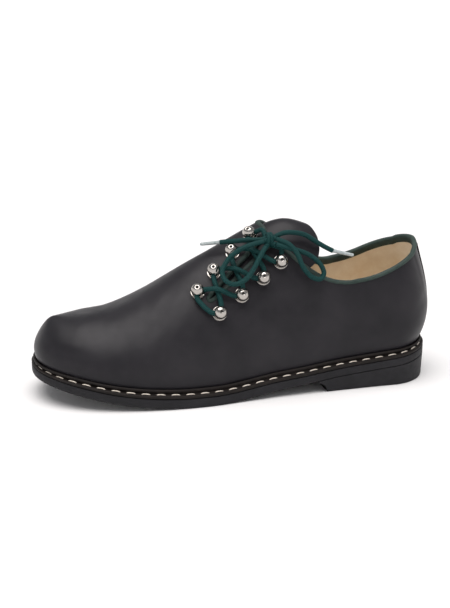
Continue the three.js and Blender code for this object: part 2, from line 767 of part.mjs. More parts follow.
// The whole last as a wall, cut along its edge by the roll with its clearance. The largest
// piece that is left is the upper.
function upperGeometry() {
  const faces = new Faces();
  const rounds = evenStops(34);
  const ups = evenStops(9);
  for (const side of ['outer', 'inner']) {
    const place = (round, t) => [round, side === 'outer' ? t : 2 - t];
    const wall = (depth) =>
      rounds.map((round) => ups.map((t) => skinPoint(...place(round, t), -depth)));
    const outside = wall(0);
    const inside = wall(WALL);
    for (let i = 0; i < rounds.length - 1; i += 1) {
      const k = i + 1;
      for (let j = 0; j < ups.length - 1; j += 1) {
        const m = j + 1;
        faces.quad(outside[i][j], outside[k][j], outside[k][m], outside[i][m], side);
        faces.quad(inside[i][m], inside[k][m], inside[k][j], inside[i][j], side);
      }
      faces.quad(outside[k][0], outside[i][0], inside[i][0], inside[k][0], side);
    }
  }
  const shell = solidOf(faces.geometry());
  const halfThickness = BINDING_THICKNESS / 2 + WALL / 2;
  const rings = edgeRings(halfThickness, BINDING_HEIGHT / 2 + CLEARANCE * 1.2, 8);
  const pieces = shell.subtract(solidOf(tubeGeometry(rings, true))).decompose();
  pieces.sort((a, b) => b.volume() - a.volume());
  return geometryOf(pieces[0]);
}

// A patch of sheet that follows the last between two lifts.
function patchGeometry(places, low, high) {
  const grid = (lift) => places.map((row) => row.map((p) => skinPoint(p.round, p.up, lift)));
  return slabGeometry(grid(high), grid(low));
}

// Height of the collar at the back, in up, a little to the outer side of the heel line or,
// with a negative round, to its inner side.
function collarAtHeel(round) {
  const outer = column(COLLAR_OUTER, 'up', 'round');
  const inner = column([...COLLAR_INNER].reverse().slice(0, 4), 'up', 'round');
  return round < 0 ? 2 - inner(-round) : outer(round);
}

function backStripGeometry() {
  const beside = new THREE.Vector3(0, -1, 0);
  const down = new THREE.Vector3(0, 0, -1);
  const half = walk({ round: 0, up: 0.3 }, beside, STRIP_WIDTH / 2).round;
  const crown = WELT_THICKNESS + RIB_HEIGHT + 2 * CLEARANCE;
  const columns = evenStops(4, -half, half).map((round) => {
    const edge = { round, up: collarAtHeel(round) };
    const top = walk(edge, down, BINDING_HEIGHT / 2 + 3 * CLEARANCE);
    const height = lastPoint(round, top.up).z - lastPoint(round, 0).z;
    const foot = { round, up: (top.up * crown) / height };
    return evenStops(7).map((t) => ({
      round: lerp(foot.round, top.round, t),
      up: lerp(foot.up, top.up, t),
    }));
  });
  return patchGeometry(columns, CLEARANCE, CLEARANCE + STRIP_THICKNESS);
}

function tongueGeometry() {
  const low = column(TONGUE, 'low', 'round');
  const high = column(TONGUE, 'high', 'round');
  const rows = [
    ...evenStops(4, TONGUE[0].round, TONGUE[4].round),
    ...evenStops(8, TONGUE[4].round, TONGUE[TONGUE.length - 1].round).slice(1),
  ];
  const places = rows.map((round) =>
    evenStops(8, low(round), high(round)).map((up) => ({ round, up })),
  );
  const top = -(BINDING_DEPTH + BINDING_THICKNESS / 2 + CLEARANCE);
  return patchGeometry(places, top - TONGUE_THICKNESS, top);
}

// Ball-shaped eyelet on its flange. Its bore bends at the middle, so that both mouths turn
// towards the slit, which lies at side 1 or -1 of the eyelet.
function eyeletGeometry(side) {
  const radius = BALL_DIAMETER / 2;
  const flange = FLANGE_DIAMETER / 2;
  const waist = radius * 0.82;
  const start = Math.asin(waist / radius);
  const profile = [
    new THREE.Vector2(0, 0),
    new THREE.Vector2(flange, 0),
    new THREE.Vector2(flange, FLANGE_THICKNESS / 2),
    new THREE.Vector2(flange - FLANGE_THICKNESS / 2, FLANGE_THICKNESS),
    new THREE.Vector2(waist, FLANGE_THICKNESS),
  ];
  for (const t of evenStops(3)) {
    const angle = lerp(Math.PI - start, 0.3, t);
    profile.push(
      new THREE.Vector2(radius * Math.sin(angle), BALL_MIDDLE + radius * Math.cos(angle)),
    );
  }
  profile.push(new THREE.Vector2(0, BALL_MIDDLE + radius * 0.86));
  const turned = new THREE.LatheGeometry(profile, 9);
  turned.rotateX(Math.PI / 2);
  let solid = solidOf(turned);
  for (const angle of [side * BORE_TURN, Math.PI - side * BORE_TURN]) {
    const bore = new THREE.CylinderGeometry(EYELET_BORE / 2, EYELET_BORE / 2, 2 * flange, 6);
    bore.translate(0, flange - EYELET_BORE / 4, 0);
    bore.rotateZ(angle - Math.PI / 2);
    bore.translate(0, 0, LACE_LIFT - CLEARANCE);
    solid = solid.subtract(solidOf(bore));
  }
  return geometryOf(solid);
}

function eyeletPlaces() {
  const flap = [...EYELET_ROWS].reverse().map((row) => [row.along, row.flap]);
  const quarter = EYELET_ROWS.map((row) => [row.along, -row.quarter]);
  return [...flap, ...quarter];
}

// A round section drawn along a smooth curve through points.
function cordGeometry(points, diameter, sides, steps) {
  const section = new THREE.Shape(
    evenStops(sides)
      .slice(1)
      .map((t) => new THREE.Vector2(Math.cos(2 * Math.PI * t), Math.sin(2 * Math.PI * t)))
      .map((p) => p.multiplyScalar(diameter / 2)),
  );
  const path = new THREE.CatmullRomCurve3(points, false, 'centripetal');
  return new THREE.ExtrudeGeometry(section, { steps, extrudePath: path });
}

// The lace between the eyelets: a bar across the front of the slit, then two strands that
// cross three times on their way up to the knot, joined into one solid.
function laceRunGeometry() {
  const mouth = BALL_DIAMETER / 2 + LACE_DIAMETER / 4;
  const bored = (index, side) => {
    const row = EYELET_ROWS[index];
    const across = side === 'flap' ? row.flap : -row.quarter;
    const inwards = -Math.sign(across);
    return [-1, 0, 1].map((t) => {
      const turned = Math.abs(t) * mouth * Math.sin(BORE_TURN) + (1 - Math.abs(t)) * BEND_EASE;
      const along = row.along + t * mouth * Math.cos(BORE_TURN);
      return slitPoint(along, across + inwards * turned, LACE_LIFT);
    });
  };
  const crossing = (index) => {
    const middle = (EYELET_ROWS[index].along + EYELET_ROWS[index + 1].along) / 2;
    return slitPoint(middle, 0, LACE_LIFT + CLEARANCE);
  };
  const strand = (side, other, end) => [
    slitPoint(EYELET_ROWS[0].along - BAR_AHEAD, side === 'flap' ? -0.5 : 0.5, LACE_LIFT),
    ...bored(0, side),
    crossing(0),
    ...bored(1, other),
    crossing(1),
    ...bored(2, side),
    crossing(2),
    ...bored(3, other),
    end,
  ];
  const strandEnd = (side) => {
    const along = EYELET_ROWS[3].along + STRAND_ENDS[side].beyond;
    return slitPoint(along, STRAND_ENDS[side].across, LACE_LIFT + CLEARANCE);
  };
  const strands = [
    strand('flap', 'quarter', strandEnd('quarter')),
    strand('quarter', 'flap', strandEnd('flap')),
  ];
  const [a, b] = strands.map((points) => solidOf(cordGeometry(points, LACE_DIAMETER, 6, 36)));
  return geometryOf(a.add(b));
}

function knotGeometry() {
  const geometry = new THREE.SphereGeometry(1, 10, 8);
  geometry.scale(KNOT.halfWidth, KNOT.halfDepth, KNOT.halfHeight);
  geometry.translate(KNOT.x, KNOT.y, KNOT.z);
  return geometry;
}

// Plastic tip just beyond a lace's end.
function agletGeometry(route, tip) {
  const end = new THREE.Vector3(...route[route.length - 1]);
  const way = new THREE.Vector3(...tip).sub(end).normalize();
  const from = end.clone().addScaledVector(way, 2 * CLEARANCE);
  const points = [from, end.clone().addScaledVector(way, AGLET_LENGTH)];
  return cordGeometry(points, AGLET_DIAMETER, 8, 1);
}

function paint(name, geometry, colour, roughness, metalness = 0) {
  geometry.computeVertexNormals();
  const material = new THREE.MeshStandardMaterial({ color: colour, roughness, metalness });
  const mesh = new THREE.Mesh(geometry, material);
  mesh.name = name;
  return mesh;
}

const LEATHER = 0x3a373b;
const RUBBER = 0x2f2e31;
const BINDING = 0x55675f;
const LACE = 0x124f49;
const METAL = 0xc9c6c2;

const shoe = new THREE.Group();
shoe.add(paint('outsole', outsoleGeometry(), RUBBER, 0.7));
shoe.add(paint('heel', heelGeometry(), RUBBER, 0.7));
shoe.add(paint('welt', weltGeometry(), 0x332d2b, 0.6));
shoe.add(paint('insole', insoleGeometry(), 0xb79b6e, 0.85));
shoe.add(paint('upper', upperGeometry(), LEATHER, 0.5));
shoe.add(paint('back_strip', backStripGeometry(), LEATHER, 0.5));
shoe.add(paint('tongue', tongueGeometry(), LEATHER, 0.55));
shoe.add(paint('edge_binding', bindingGeometry(), BINDING, 0.75));

eyeletPlaces().forEach(([along, across], i) => {
  const place = slitPlace(along, across);
  const frame = slitFrame(place);
  const geometry = eyeletGeometry(-Math.sign(across));
  const eyelet = paint(`eyelet_${i + 1}`, geometry, METAL, 0.25, 1);
  const turn = new THREE.Matrix4().makeBasis(frame.along, frame.across, frame.normal);
  eyelet.quaternion.setFromRotationMatrix(turn);
  eyelet.position.copy(skinPoint(place.round, place.up, CLEARANCE));
  shoe.add(eyelet);
});

shoe.add(paint('lace_crossings', laceRunGeometry(), LACE, 0.8));

const body = new THREE.Box3().setFromObject(shoe);

shoe.add(paint('lace_knot', knotGeometry(), LACE, 0.8));
for (const [name, route] of Object.entries(ROUTES)) {
  const points = route.map((p) => new THREE.Vector3(...p));
  shoe.add(paint(name, cordGeometry(points, LACE_DIAMETER, 8, 2 * route.length), LACE, 0.8));
}
for (const [end, tip] of Object.entries(AGLET_TIPS)) {
  const aglet = agletGeometry(ROUTES[`lace_end_${end}`], tip);
  shoe.add(paint(`aglet_${end}`, aglet, 0xb9bcbb, 0.3));
}

// The shoe stands centred on the origin.
const middle = body.getCenter(new THREE.Vector3());
shoe.position.set(-middle.x, -middle.y, -body.min.z);

export default shoe;
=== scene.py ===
import bmesh
import bpy
import numpy as np
from mathutils import Matrix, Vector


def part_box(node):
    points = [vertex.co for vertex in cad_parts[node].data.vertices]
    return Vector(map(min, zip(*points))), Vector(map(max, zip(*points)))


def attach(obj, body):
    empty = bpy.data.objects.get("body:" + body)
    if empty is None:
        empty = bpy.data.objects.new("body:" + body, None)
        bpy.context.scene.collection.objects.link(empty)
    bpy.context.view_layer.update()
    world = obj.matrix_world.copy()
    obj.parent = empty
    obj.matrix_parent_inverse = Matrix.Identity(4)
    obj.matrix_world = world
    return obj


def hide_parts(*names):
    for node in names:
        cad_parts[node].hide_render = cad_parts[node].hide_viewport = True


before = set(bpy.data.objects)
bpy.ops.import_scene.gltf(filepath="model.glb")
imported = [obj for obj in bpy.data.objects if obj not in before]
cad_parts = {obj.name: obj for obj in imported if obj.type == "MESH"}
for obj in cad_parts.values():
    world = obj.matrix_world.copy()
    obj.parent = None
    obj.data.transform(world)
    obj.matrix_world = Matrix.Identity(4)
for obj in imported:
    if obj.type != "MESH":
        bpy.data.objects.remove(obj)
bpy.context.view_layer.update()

# Sizes, the same as the part's own. Two tables differ here, to follow the photograph closer
# than the solids do: SECTION's outer and inner powers at the toe, and TONGUE's low places at
# its free end.
SOLE_LENGTH = 0.302
BALL_WIDTH = 0.104
INSTEP_HEIGHT = 0.104
HEEL_HEIGHT = 0.019
TOE_SPRING = 0.0178
OUTSOLE_THICKNESS = 0.008
CLEARANCE = 0.0003
WALL = 0.0024
WELT_REACH = 0.0075
WELT_THICKNESS = 0.003
RIB_WIDTH = 0.0024
RIB_HEIGHT = 0.0028
HEEL_TAPER = 0.0006
INSOLE_THICKNESS = 0.003
TONGUE_THICKNESS = 0.002
BINDING_THICKNESS = 0.0037
BINDING_HEIGHT = 0.0035
BINDING_DEPTH = 0.0008
STRIP_WIDTH = 0.015
STRIP_THICKNESS = 0.0012
LACE_DIAMETER = 0.0036
LACE_LIFT = 0.0037
AGLET_DIAMETER = 0.0026
AGLET_LENGTH = 0.016
BALL_DIAMETER = 0.009
BALL_MIDDLE = 0.0042
FLANGE_DIAMETER = 0.0108
FLANGE_THICKNESS = 0.0008
EYELET_BORE = 0.0054
BORE_TURN = 0.66  # of a bore's two mouths towards the slit, in radians
RIDGE_INSET = 0.021
RIDGE_EVEN = 0.25  # 0 sets the last's sections square to its length, 1 spreads them evenly
HEEL_REACH = {"distance": 0.010, "share": 0.3}  # how much further back the ridge starts
STEP = 0.004  # in round or up, for slopes
RIDGE_STEP = 0.001  # in metres, for the ridge's slope
WALK_STEPS = 8
BULGE_PEAK = 6.75  # makes rise times (1 - rise) squared reach 1
FINENESS = {  # stops along curves, outlines and profiles, and cells round and up of sheets
    "outline": 601, "slit": 25, "curve": 2400, "free_cord": 90, "knot_strand": 40,
    "knot_turn": 48, "lace": 680, "aglet": 24, "piping": 18, "leather": (230, 74),
    "lining": (150, 52), "tongue": (26, 60, 60), "strip": (17, 60), "facing": 6,
    "outsole": 220, "heel": 120, "welt": 240, "insole": 160, "stitch_line": 900,
    "stitch": (9, 8), "ball": (30, 48), "bore": 32,
}

# Plan and profile of the sole, ridge and sections of the last, by station from heel to toe.
PLAN = {
    "at": (0, 0.12, 0.25, 0.38, 0.5, 0.6, 0.7, 0.8, 0.9, 1),
    "centre": (0, 0.002, -0.012, -0.036, -0.046, -0.035, 0, 0.035, 0.055, 0.07),
    "half": (0.362, 0.396, 0.394, 0.392, 0.413, 0.46, 0.494, 0.5, 0.495, 0.484),
}
HEEL_ROUND = {"share": 0.12, "power": 2.2}
TOE_ROUND = {"share": 0.27, "power": 2.36}
SOLE = {
    "at": (0, 0.12, 0.27, 0.36, 0.44, 0.52, 0.58, 0.64, 0.7, 0.76, 0.82, 0.91, 1),
    "rise": (1, 0.79, 0.585, 0.39, 0.247, 0.06, 0, 0, 0, 0, 0, 0, 0),
    "spring": (0, 0, 0, 0, 0, 0, 0, 0, 0.056, 0.157, 0.309, 0.64, 1),
    "thickness": (0.75, 0.75, 0.75, 0.81, 0.86, 0.9, 0.9, 0.9, 0.88, 0.86, 0.85, 0.82, 0.76),
}
BREAST = {"top": 0.342, "middle": 0.326, "bottom": 0.321}
RIDGE = {
    "at": (0.08, 0.25, 0.38, 0.48, 0.56, 0.64, 0.72, 0.8, 0.86, 0.917, 0.96),
    "height": (0.886, 0.948, 1.091, 1.007, 0.909, 0.788, 0.638, 0.504, 0.44, 0.388, 0.366),
    "offset": (0, 0, 0.05, 0.095, 0.085, 0.06, 0.05, 0.04, 0.02, 0, 0),
}
SECTION = {
    "at": (0, 0.06, 0.15, 0.35, 0.55, 0.75, 0.88, 0.94, 1),
    "outer": (3, 2.8, 2.5, 2.1, 2, 2.2, 2.75, 2.9, 2.95),
    "inner": (3, 2.8, 2.5, 2.2, 2.1, 2.3, 2.75, 2.9, 2.95),
    "bulge": (0.1, 0.086, 0.06, 0.042, 0.037, 0.037, 0.036, 0.046, 0.058),
}

# Edge of the upper, slit with its eyelets, and tongue.
COLLAR_OUTER = {
    "round": (0, 0.069, 0.146, 0.214, 0.285, 0.332, 0.368, 0.396),
    "up": (0.583, 0.525, 0.472, 0.425, 0.42, 0.446, 0.507, 0.596),
}
COLLAR_INNER = {
    "round": (0.429, 0.434, 0.42, 0.386, 0.326, 0.24, 0.146, 0.069, 0),
    "up": (0.864, 1, 1.168, 1.384, 1.517, 1.54, 1.475, 1.42, 1.417),
}
SLIT_FRONT = np.array([0.568, 0.5205])
SLIT_MOUTH = np.array([0.421, 0.717])
SLIT_HALF_FRONT = 0.0023
SLIT_HALF_MOUTH = 0.0043
EDGE_STEPS = {"outer": 30, "inner": 34, "finer": 4}
EYELET_ROWS = {
    "along": (-0.003, 0.017, 0.0368, 0.0555),
    "flap": (0.0098, 0.0117, 0.0121, 0.0122),
    "quarter": (0.0121, 0.0144, 0.0173, 0.0185),
}
TONGUE = {
    "round": (0.302, 0.306, 0.315, 0.33, 0.35, 0.39, 0.44, 0.5, 0.55, 0.59, 0.61),
    "low": (0.8, 0.67, 0.575, 0.51, 0.475, 0.44, 0.41, 0.38, 0.38, 0.4, 0.45),
    "high": (1.06, 1.13, 1.19, 1.235, 1.26, 1.27, 1.25, 1.18, 1, 0.8, 0.68),
}

# The bow, from the knot outwards, chosen with the part's source.
KNOT = np.array([0.0203, -0.0225, 0.113])
ROUTES = {
    "lace_end_front": [
        (0.0155, -0.0209, 0.1130), (0.0096, -0.0197, 0.1130), (0.0040, -0.0186, 0.1129),
        (-0.0026, -0.0158, 0.1120), (-0.0076, -0.0122, 0.1112), (-0.0124, -0.0085, 0.1101),
    ],
    "lace_end_back": [
        (0.0250, -0.0220, 0.1153), (0.0313, -0.0226, 0.1176), (0.0385, -0.0219, 0.1175),
        (0.0481, -0.0209, 0.1151), (0.0556, -0.0218, 0.1104), (0.0632, -0.0223, 0.1057),
        (0.0691, -0.0226, 0.1026),
    ],
    "lace_loop_front": [
        (0.0156, -0.0249, 0.1126), (0.0060, -0.0266, 0.1109), (-0.0020, -0.0262, 0.1079),
        (-0.0088, -0.0266, 0.1034), (-0.0137, -0.0280, 0.0981), (-0.0165, -0.0307, 0.0931),
        (-0.0153, -0.0347, 0.0881), (-0.0108, -0.0372, 0.0855), (-0.0052, -0.0382, 0.0862),
        (0.0008, -0.0374, 0.0900), (0.0059, -0.0350, 0.0957), (0.0112, -0.0315, 0.1030),
        (0.0166, -0.0270, 0.1089),
    ],
    "lace_loop_back": [
        (0.0253, -0.0249, 0.1140), (0.0336, -0.0306, 0.1103), (0.0385, -0.0345, 0.1035),
        (0.0415, -0.0377, 0.0953), (0.0482, -0.0383, 0.0876), (0.0556, -0.0370, 0.0855),
        (0.0583, -0.0354, 0.0894), (0.0556, -0.0340, 0.0959), (0.0482, -0.0318, 0.1023),
        (0.0407, -0.0310, 0.1056), (0.0322, -0.0298, 0.1082), (0.0246, -0.0268, 0.1104),
    ],
}
AGLET_TIPS = {"front": (-0.0264, 0.0014, 0.1072), "back": (0.0839, -0.0259, 0.0992)}

# The strands of the lace: how far ahead of the first row the bar crosses the slit, how far
# the lace eases the bend of each bore, where it leaves the last row on its way to the knot,
# and how far above the bores' height it lies there and where it crosses itself.
BAR_AHEAD = 0.0055
BEND_EASE = 0.00045
STRAND_ENDS = {"beyond": (0.007, 0.0075), "across": (-0.013, 0.0065)}
STRAND_END_LIFT = 0.001
CROSSING_LIFT = {"over": 0.0031, "under": 0.0001}

# From here on, only the scene has these numbers. First the knot: three strands that run from
# one route's end past the knot's middle to another's, and a band of two turns wound over them.
KNOT_STRANDS = [
    (("lace_end_front", 0), (0, 0.001, 0.0018), ("lace_loop_back", 0)),
    (("lace_end_back", 0), (0, -0.0005, 0.0005), ("lace_loop_front", 0)),
    (("lace_loop_front", -1), (0, -0.0012, -0.0024), ("lace_loop_back", -1)),
]
KNOT_ENTRIES = ((0.001, 0.0005, -0.003), (-0.001, 0.0005, -0.002))  # of the two strands
KNOT_TURNS = ((0.35, -0.0011), (-0.25, 0.0014))  # each turn's lean and shift along the knot
KNOT_BAND = {"along": 0.0012, "across": 0.0029, "up": 0.0042, "thickness": 0.86}
KNOT_DRAWN_IN = (0.55, 0.92)  # share of the radius at a strand's last two stops
CORD_SIDES = 14
AGLET_PROFILE = {  # run along the aglet, and the share of its width there
    "run": (-0.0002, 0.0012, AGLET_LENGTH - 0.001, AGLET_LENGTH),
    "width": (1.32, 1.04, 0.96, 0.7),
}

# Leather over its lining, the facing inside the collar, and the cut rims of loose sheets.
LEATHER_THICKNESS = 0.0014
SHEET_GAP = 0.00005  # between sheets that lie on each other
FACING = {"width": 0.0043, "thickness": 0.0005, "outer_end": 0.33, "inner_end": 0.37}
FACING_EASE = 0.08  # share of its length over which it widens at either end
RIM_SHARE = {"thin": 0.35, "full": 0.85}  # thickness left at a sheet's rim
PLACE_SCALE = np.array([3.3, 1.2])  # about the decimetres that one of round and one of up take

# Creases of the worn leather, listed one by one: each one's depth and half width in metres,
# and its run over the last in round and up.
CREASES = [
    (0.00028, 0.0042, [(0.80, 0.30), (0.87, 0.34), (0.93, 0.37), (0.97, 0.40)]),
    (0.00035, 0.0048, [(0.600, 0.50), (0.620, 0.38), (0.650, 0.27), (0.685, 0.20)]),
    (0.00028, 0.0055, [(0.640, 0.80), (0.665, 0.62), (0.690, 0.48), (0.725, 0.38)]),
    (0.00028, 0.0055, [(0.640, 1.20), (0.665, 1.38), (0.690, 1.52), (0.725, 1.62)]),
    (0.00035, 0.0060, [(0.540, 0.28), (0.470, 0.31), (0.400, 0.33), (0.320, 0.34)]),
    (0.00035, 0.0060, [(0.560, 1.74), (0.490, 1.70), (0.410, 1.68), (0.330, 1.67)]),
    (0.00025, 0.0050, [(0.140, 0.20), (0.090, 0.26), (0.040, 0.30)]),
]
CREASE_STEPS = 48
CREASE_SPREAD = 1.4

# Welt: the turn of its edge at the toe, its soft rib and its stitches.
TOE_TURN = {"from": 0.8, "drop": 0.001}
RIB_CURVE = np.radians([195, 160, 125, 90, 60, 30, 0, -25])
RIB_RISE = 0.62  # the rib's half height, as a share of its width
STITCH_PITCH = 0.0106
STITCH_LENGTH = 0.0070
STITCH_WIDTH = 0.0012
STITCH_INSET = 0.0027
STITCH_SUNK = {"all_round": 0.0005, "toe_share": 0.55, "ends": 0.0007, "middle": -0.0001}
STITCH_FLATNESS = 0.7

# Crown of a ball eyelet: how far the polished ball stands out past the solid's facets, the
# angle from its axis at which its crown starts, and the recess in the crown, whose deep faces
# take a dark colour as painted shade.
BALL_FULLNESS = 0.0003
NECK_SHARE = 0.82  # the ball's narrow foot on the flange, as a share of its radius
CROWN_ANGLE = 0.34
CROWN_RECESS = 0.0011
# Faces of the recess above this height take the dark colour: painted shade.
RECESS_SHADE_LOWEST = 0.0025  # above the ball's middle

# Studio: a floor that rises far away, an even sky and one broad sun.
FLOOR = {"tone": 0.82, "near": 2, "far": 6, "rise": 2.3}
SKY = {"colour": (0.95, 0.965, 1), "strength": 0.35}
SUN = {"colour": (1, 0.965, 0.95), "energy": 3.2, "angle": 55, "turn": (0.16, -0.1, 0)}

# The camera, as the photograph was taken, before the shoe was centred on the origin.
CAMERA_AZIMUTH = -13.89
CAMERA_ELEVATION = 15.19
CAMERA_DISTANCE = 0.7332
CAMERA_TARGET = np.array([-0.0068, 0, 0.0609])
CAMERA_LENS = 57.83
CAMERA_SENSOR = 36


def smooth(table, name, value, key="at"):
    """Smooth column of a table: cubics through its rows, level at a row that is a high or low."""
    x = np.asarray(table[key], float)
    y = np.asarray(table[name], float)
    before = np.r_[0, np.arange(len(x) - 1)]
    after = np.r_[np.arange(1, len(x)), len(x) - 1]
    slope = (y[after] - y[before]) / (x[after] - x[before])
    turns = (y[1:-1] - y[:-2]) * (y[2:] - y[1:-1]) <= 0
    slope[1:-1][turns] = 0
    value = np.clip(value, x[0], x[-1])
    i = np.clip(np.searchsorted(x, value) - 1, 0, len(x) - 2)
    step = x[i + 1] - x[i]
    t = (value - x[i]) / step
    rise = y[i] * (2 * t**3 - 3 * t**2 + 1) + y[i + 1] * (3 * t**2 - 2 * t**3)
    return rise + step * (slope[i] * (t**3 - 2 * t**2 + t) + slope[i + 1] * (t**3 - t**2))


def station_of(x):
    """Station of a place along the shoe: 0 at the heel's end, 1 at the toe's."""
    return 0.5 - x / SOLE_LENGTH


def sole_bottom(x):
    """Underside of the outsole: the heel's rise and the toe's spring by station."""
    at = station_of(x)
    return HEEL_HEIGHT * smooth(SOLE, "rise", at) + TOE_SPRING * smooth(SOLE, "spring", at)


def sole_top(x):
    """Top of the outsole: its underside plus its thickness by station."""
    return sole_bottom(x) + OUTSOLE_THICKNESS * smooth(SOLE, "thickness", station_of(x))


def ridge_z(x):
    """Height of the last's ridge: the sole's top plus the instep's height by station."""
    return sole_top(x) + INSTEP_HEIGHT * smooth(RIDGE, "height", station_of(x))


def outline_side(turn):
    """One side of the sole's outline: half width by station, both ends superellipses."""
    at = 0.5 - 0.5 * np.cos(np.pi * np.linspace(0, 1, FINENESS["outline"]))
    left = np.maximum((HEEL_ROUND["share"] - at) / HEEL_ROUND["share"], 0)
    heel = np.maximum(1 - left ** HEEL_ROUND["power"], 0) ** (1 / HEEL_ROUND["power"])
    left = np.maximum((at - 1 + TOE_ROUND["share"]) / TOE_ROUND["share"], 0)
    toe = np.maximum(1 - left ** TOE_ROUND["power"], 0) ** (1 / TOE_ROUND["power"])
    half = smooth(PLAN, "half", at) * heel * toe
    x = (0.5 - at) * SOLE_LENGTH
    y = (smooth(PLAN, "centre", at) + turn * half) * BALL_WIDTH
    run = np.r_[0, np.cumsum(np.hypot(np.diff(x), np.diff(y)))]
    return x, y, run / run[-1]


OUTER = outline_side(-1)
INNER = outline_side(1)


def outline(around, inner):
    """Point of the outline. Past an end it goes on along the other side."""
    past = (around < 0) | (around > 1)
    around = np.where(around < 0, -around, np.where(around > 1, 2 - around, around))
    inner = inner ^ past
    sides = [[np.interp(around, side[2], side[k]) for k in (0, 1)] for side in (OUTER, INNER)]
    return np.stack([np.where(inner, sides[1][k], sides[0][k]) for k in (0, 1)], -1)


def outline_normal(around, inner):
    """Outward direction of the outline, in plan."""
    way = outline(around + STEP, inner) - outline(around - STEP, inner)
    way /= np.linalg.norm(way, axis=-1, keepdims=True)
    turn = np.where(inner, -1, 1)
    return np.stack([-turn * way[..., 1], turn * way[..., 0]], -1)


def inset(around, inner, distance):
    """Point of the outline moved inwards, square to it, by a distance."""
    distance = np.asarray(distance)[..., None]
    return outline(around, inner) - outline_normal(around, inner) * distance


def last_point(around, up):
    """The outside of the last, from places in round and up.

    Each section is a quarter of a superellipse from the foot, inset from the outline, to the
    ridge: with a the up as an angle and p the section's power, reach is (cos a to the p plus
    sin a to the p) to the -1/p, and the point lies 1 - reach cos a of the way in and reach
    sin a of the way up. A bulge, rise times (1 - rise) squared, is added outwards. Past the
    heel or toe line a place goes on over the other side.
    """
    around, up = np.broadcast_arrays(np.asarray(around, float), np.asarray(up, float))
    past = (around < 0) | (around > 1)
    up = np.where(past, 2 - up, up)
    around = np.where(around < 0, -around, np.where(around > 1, 2 - around, around))
    inner = up > 1
    angle = np.where(inner, 2 - up, up) * np.pi / 2
    foot = inset(around, inner, WELT_REACH)
    flat = np.zeros_like(inner)
    square = station_of((outline(around, flat)[..., 0] + outline(around, ~flat)[..., 0]) / 2)
    share = square + (around - square) * RIDGE_EVEN
    back = HEEL_REACH["distance"] * np.maximum(0, 1 - share / HEEL_REACH["share"]) ** 2
    ridge_x = (0.5 - share) * (SOLE_LENGTH - 2 * RIDGE_INSET) + back
    ridge_at = station_of(ridge_x)
    ridge_y = BALL_WIDTH * (smooth(PLAN, "centre", ridge_at) + smooth(RIDGE, "offset", ridge_at))
    slope = (ridge_z(ridge_x + RIDGE_STEP) - ridge_z(ridge_x - RIDGE_STEP)) / (2 * RIDGE_STEP)
    at = station_of(foot[..., 0])
    power = np.where(inner, smooth(SECTION, "inner", at), smooth(SECTION, "outer", at))
    cos = np.maximum(0, np.cos(angle))
    sin = np.maximum(0, np.sin(angle))
    reach = (cos**power + sin**power) ** (-1 / power)
    across = (1 - reach * cos)[..., None]
    rise = reach * sin
    bulge = smooth(SECTION, "bulge", at) * INSTEP_HEIGHT * BULGE_PEAK * rise * (1 - rise) ** 2
    ridge = np.stack([ridge_x, ridge_y], -1)
    plan = foot + (ridge - foot) * across + outline_normal(around, inner) * bulge[..., None]
    foot_z = sole_top(foot[..., 0]) + CLEARANCE
    top_z = ridge_z(ridge_x) + slope * (plan[..., 0] - ridge_x)
    return np.concatenate([plan, (foot_z + (top_z - foot_z) * rise)[..., None]], -1)


def unit(vectors):
    """Vectors of length 1 with the same directions."""
    return vectors / np.maximum(np.linalg.norm(vectors, axis=-1, keepdims=True), 1e-12)


def last_slopes(around, up):
    """Slopes of the last along round and up, and its outward normal."""
    ahead = (last_point(around + STEP, up) - last_point(around - STEP, up)) / (2 * STEP)
    over = (last_point(around, up + STEP) - last_point(around, up - STEP)) / (2 * STEP)
    return ahead, over, unit(np.cross(over, ahead))


def skin_point(around, up, lift):
    """Point above the outside of the last, or below it with a negative lift."""
    lift = np.asarray(lift, float)[..., None]
    return last_point(around, up) + last_slopes(around, up)[2] * lift


def walk(place, direction, distance):
    """Walks over the last from a place, a distance in a direction in space, in short steps.

    A step solves, in the plane of the two slopes, for the round and up that move it that way.
    """
    for _ in range(WALK_STEPS):
        ahead, over, normal = last_slopes(place[..., 0], place[..., 1])
        way = unit(direction - normal * (direction * normal).sum(-1, keepdims=True))
        aa, ab, bb = (ahead * ahead).sum(-1), (ahead * over).sum(-1), (over * over).sum(-1)
        wa, wo = (way * ahead).sum(-1), (way * over).sum(-1)
        scale = distance / WALK_STEPS / (aa * bb - ab * ab)
        step = np.stack([scale * (wa * bb - wo * ab), scale * (wo * aa - wa * ab)], -1)
        place = place + step
    return place


def slit_centre(share):
    """Place on the slit's middle line, from its front end at 0 to its mouth at 1."""
    return SLIT_FRONT + (SLIT_MOUTH - SLIT_FRONT) * np.asarray(share, float)[..., None]


SLIT_RUN = slit_centre(np.linspace(0, 1, FINENESS["slit"]))
SLIT_CHORDS = np.diff(last_point(SLIT_RUN[:, 0], SLIT_RUN[:, 1]), axis=0)
SLIT_LENGTH = np.linalg.norm(SLIT_CHORDS, axis=1).sum()


def slit_frame(place):
    """Directions at a place: along the slit to its mouth, across it to the flap, and up."""
    ahead, over, normal = last_slopes(place[..., 0], place[..., 1])
    way = SLIT_MOUTH - SLIT_FRONT
    along = unit(ahead * way[0] + over * way[1])
    return along, unit(np.cross(normal, along)), normal


def slit_place(along, across):
    """Place a distance along the slit's middle line from its front end, and one across it."""
    along, across = np.broadcast_arrays(np.asarray(along, float), np.asarray(across, float))
    centre = slit_centre(along / SLIT_LENGTH)
    return walk(centre, slit_frame(centre)[1], across)


def slit_point(along, across, lift):
    """Point above the last at a place given by distances along and across the slit."""
    place = slit_place(along, across)
    return skin_point(place[..., 0], place[..., 1], lift)


# The shoe is centred on the origin, so everything worked out here moves by the same amount.
SOLE_BOX = np.array(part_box("outsole"))
SHIFT = np.array([SOLE_BOX[:, 0].mean(), SOLE_BOX[0, 1] - OUTER[1].min(), 0])


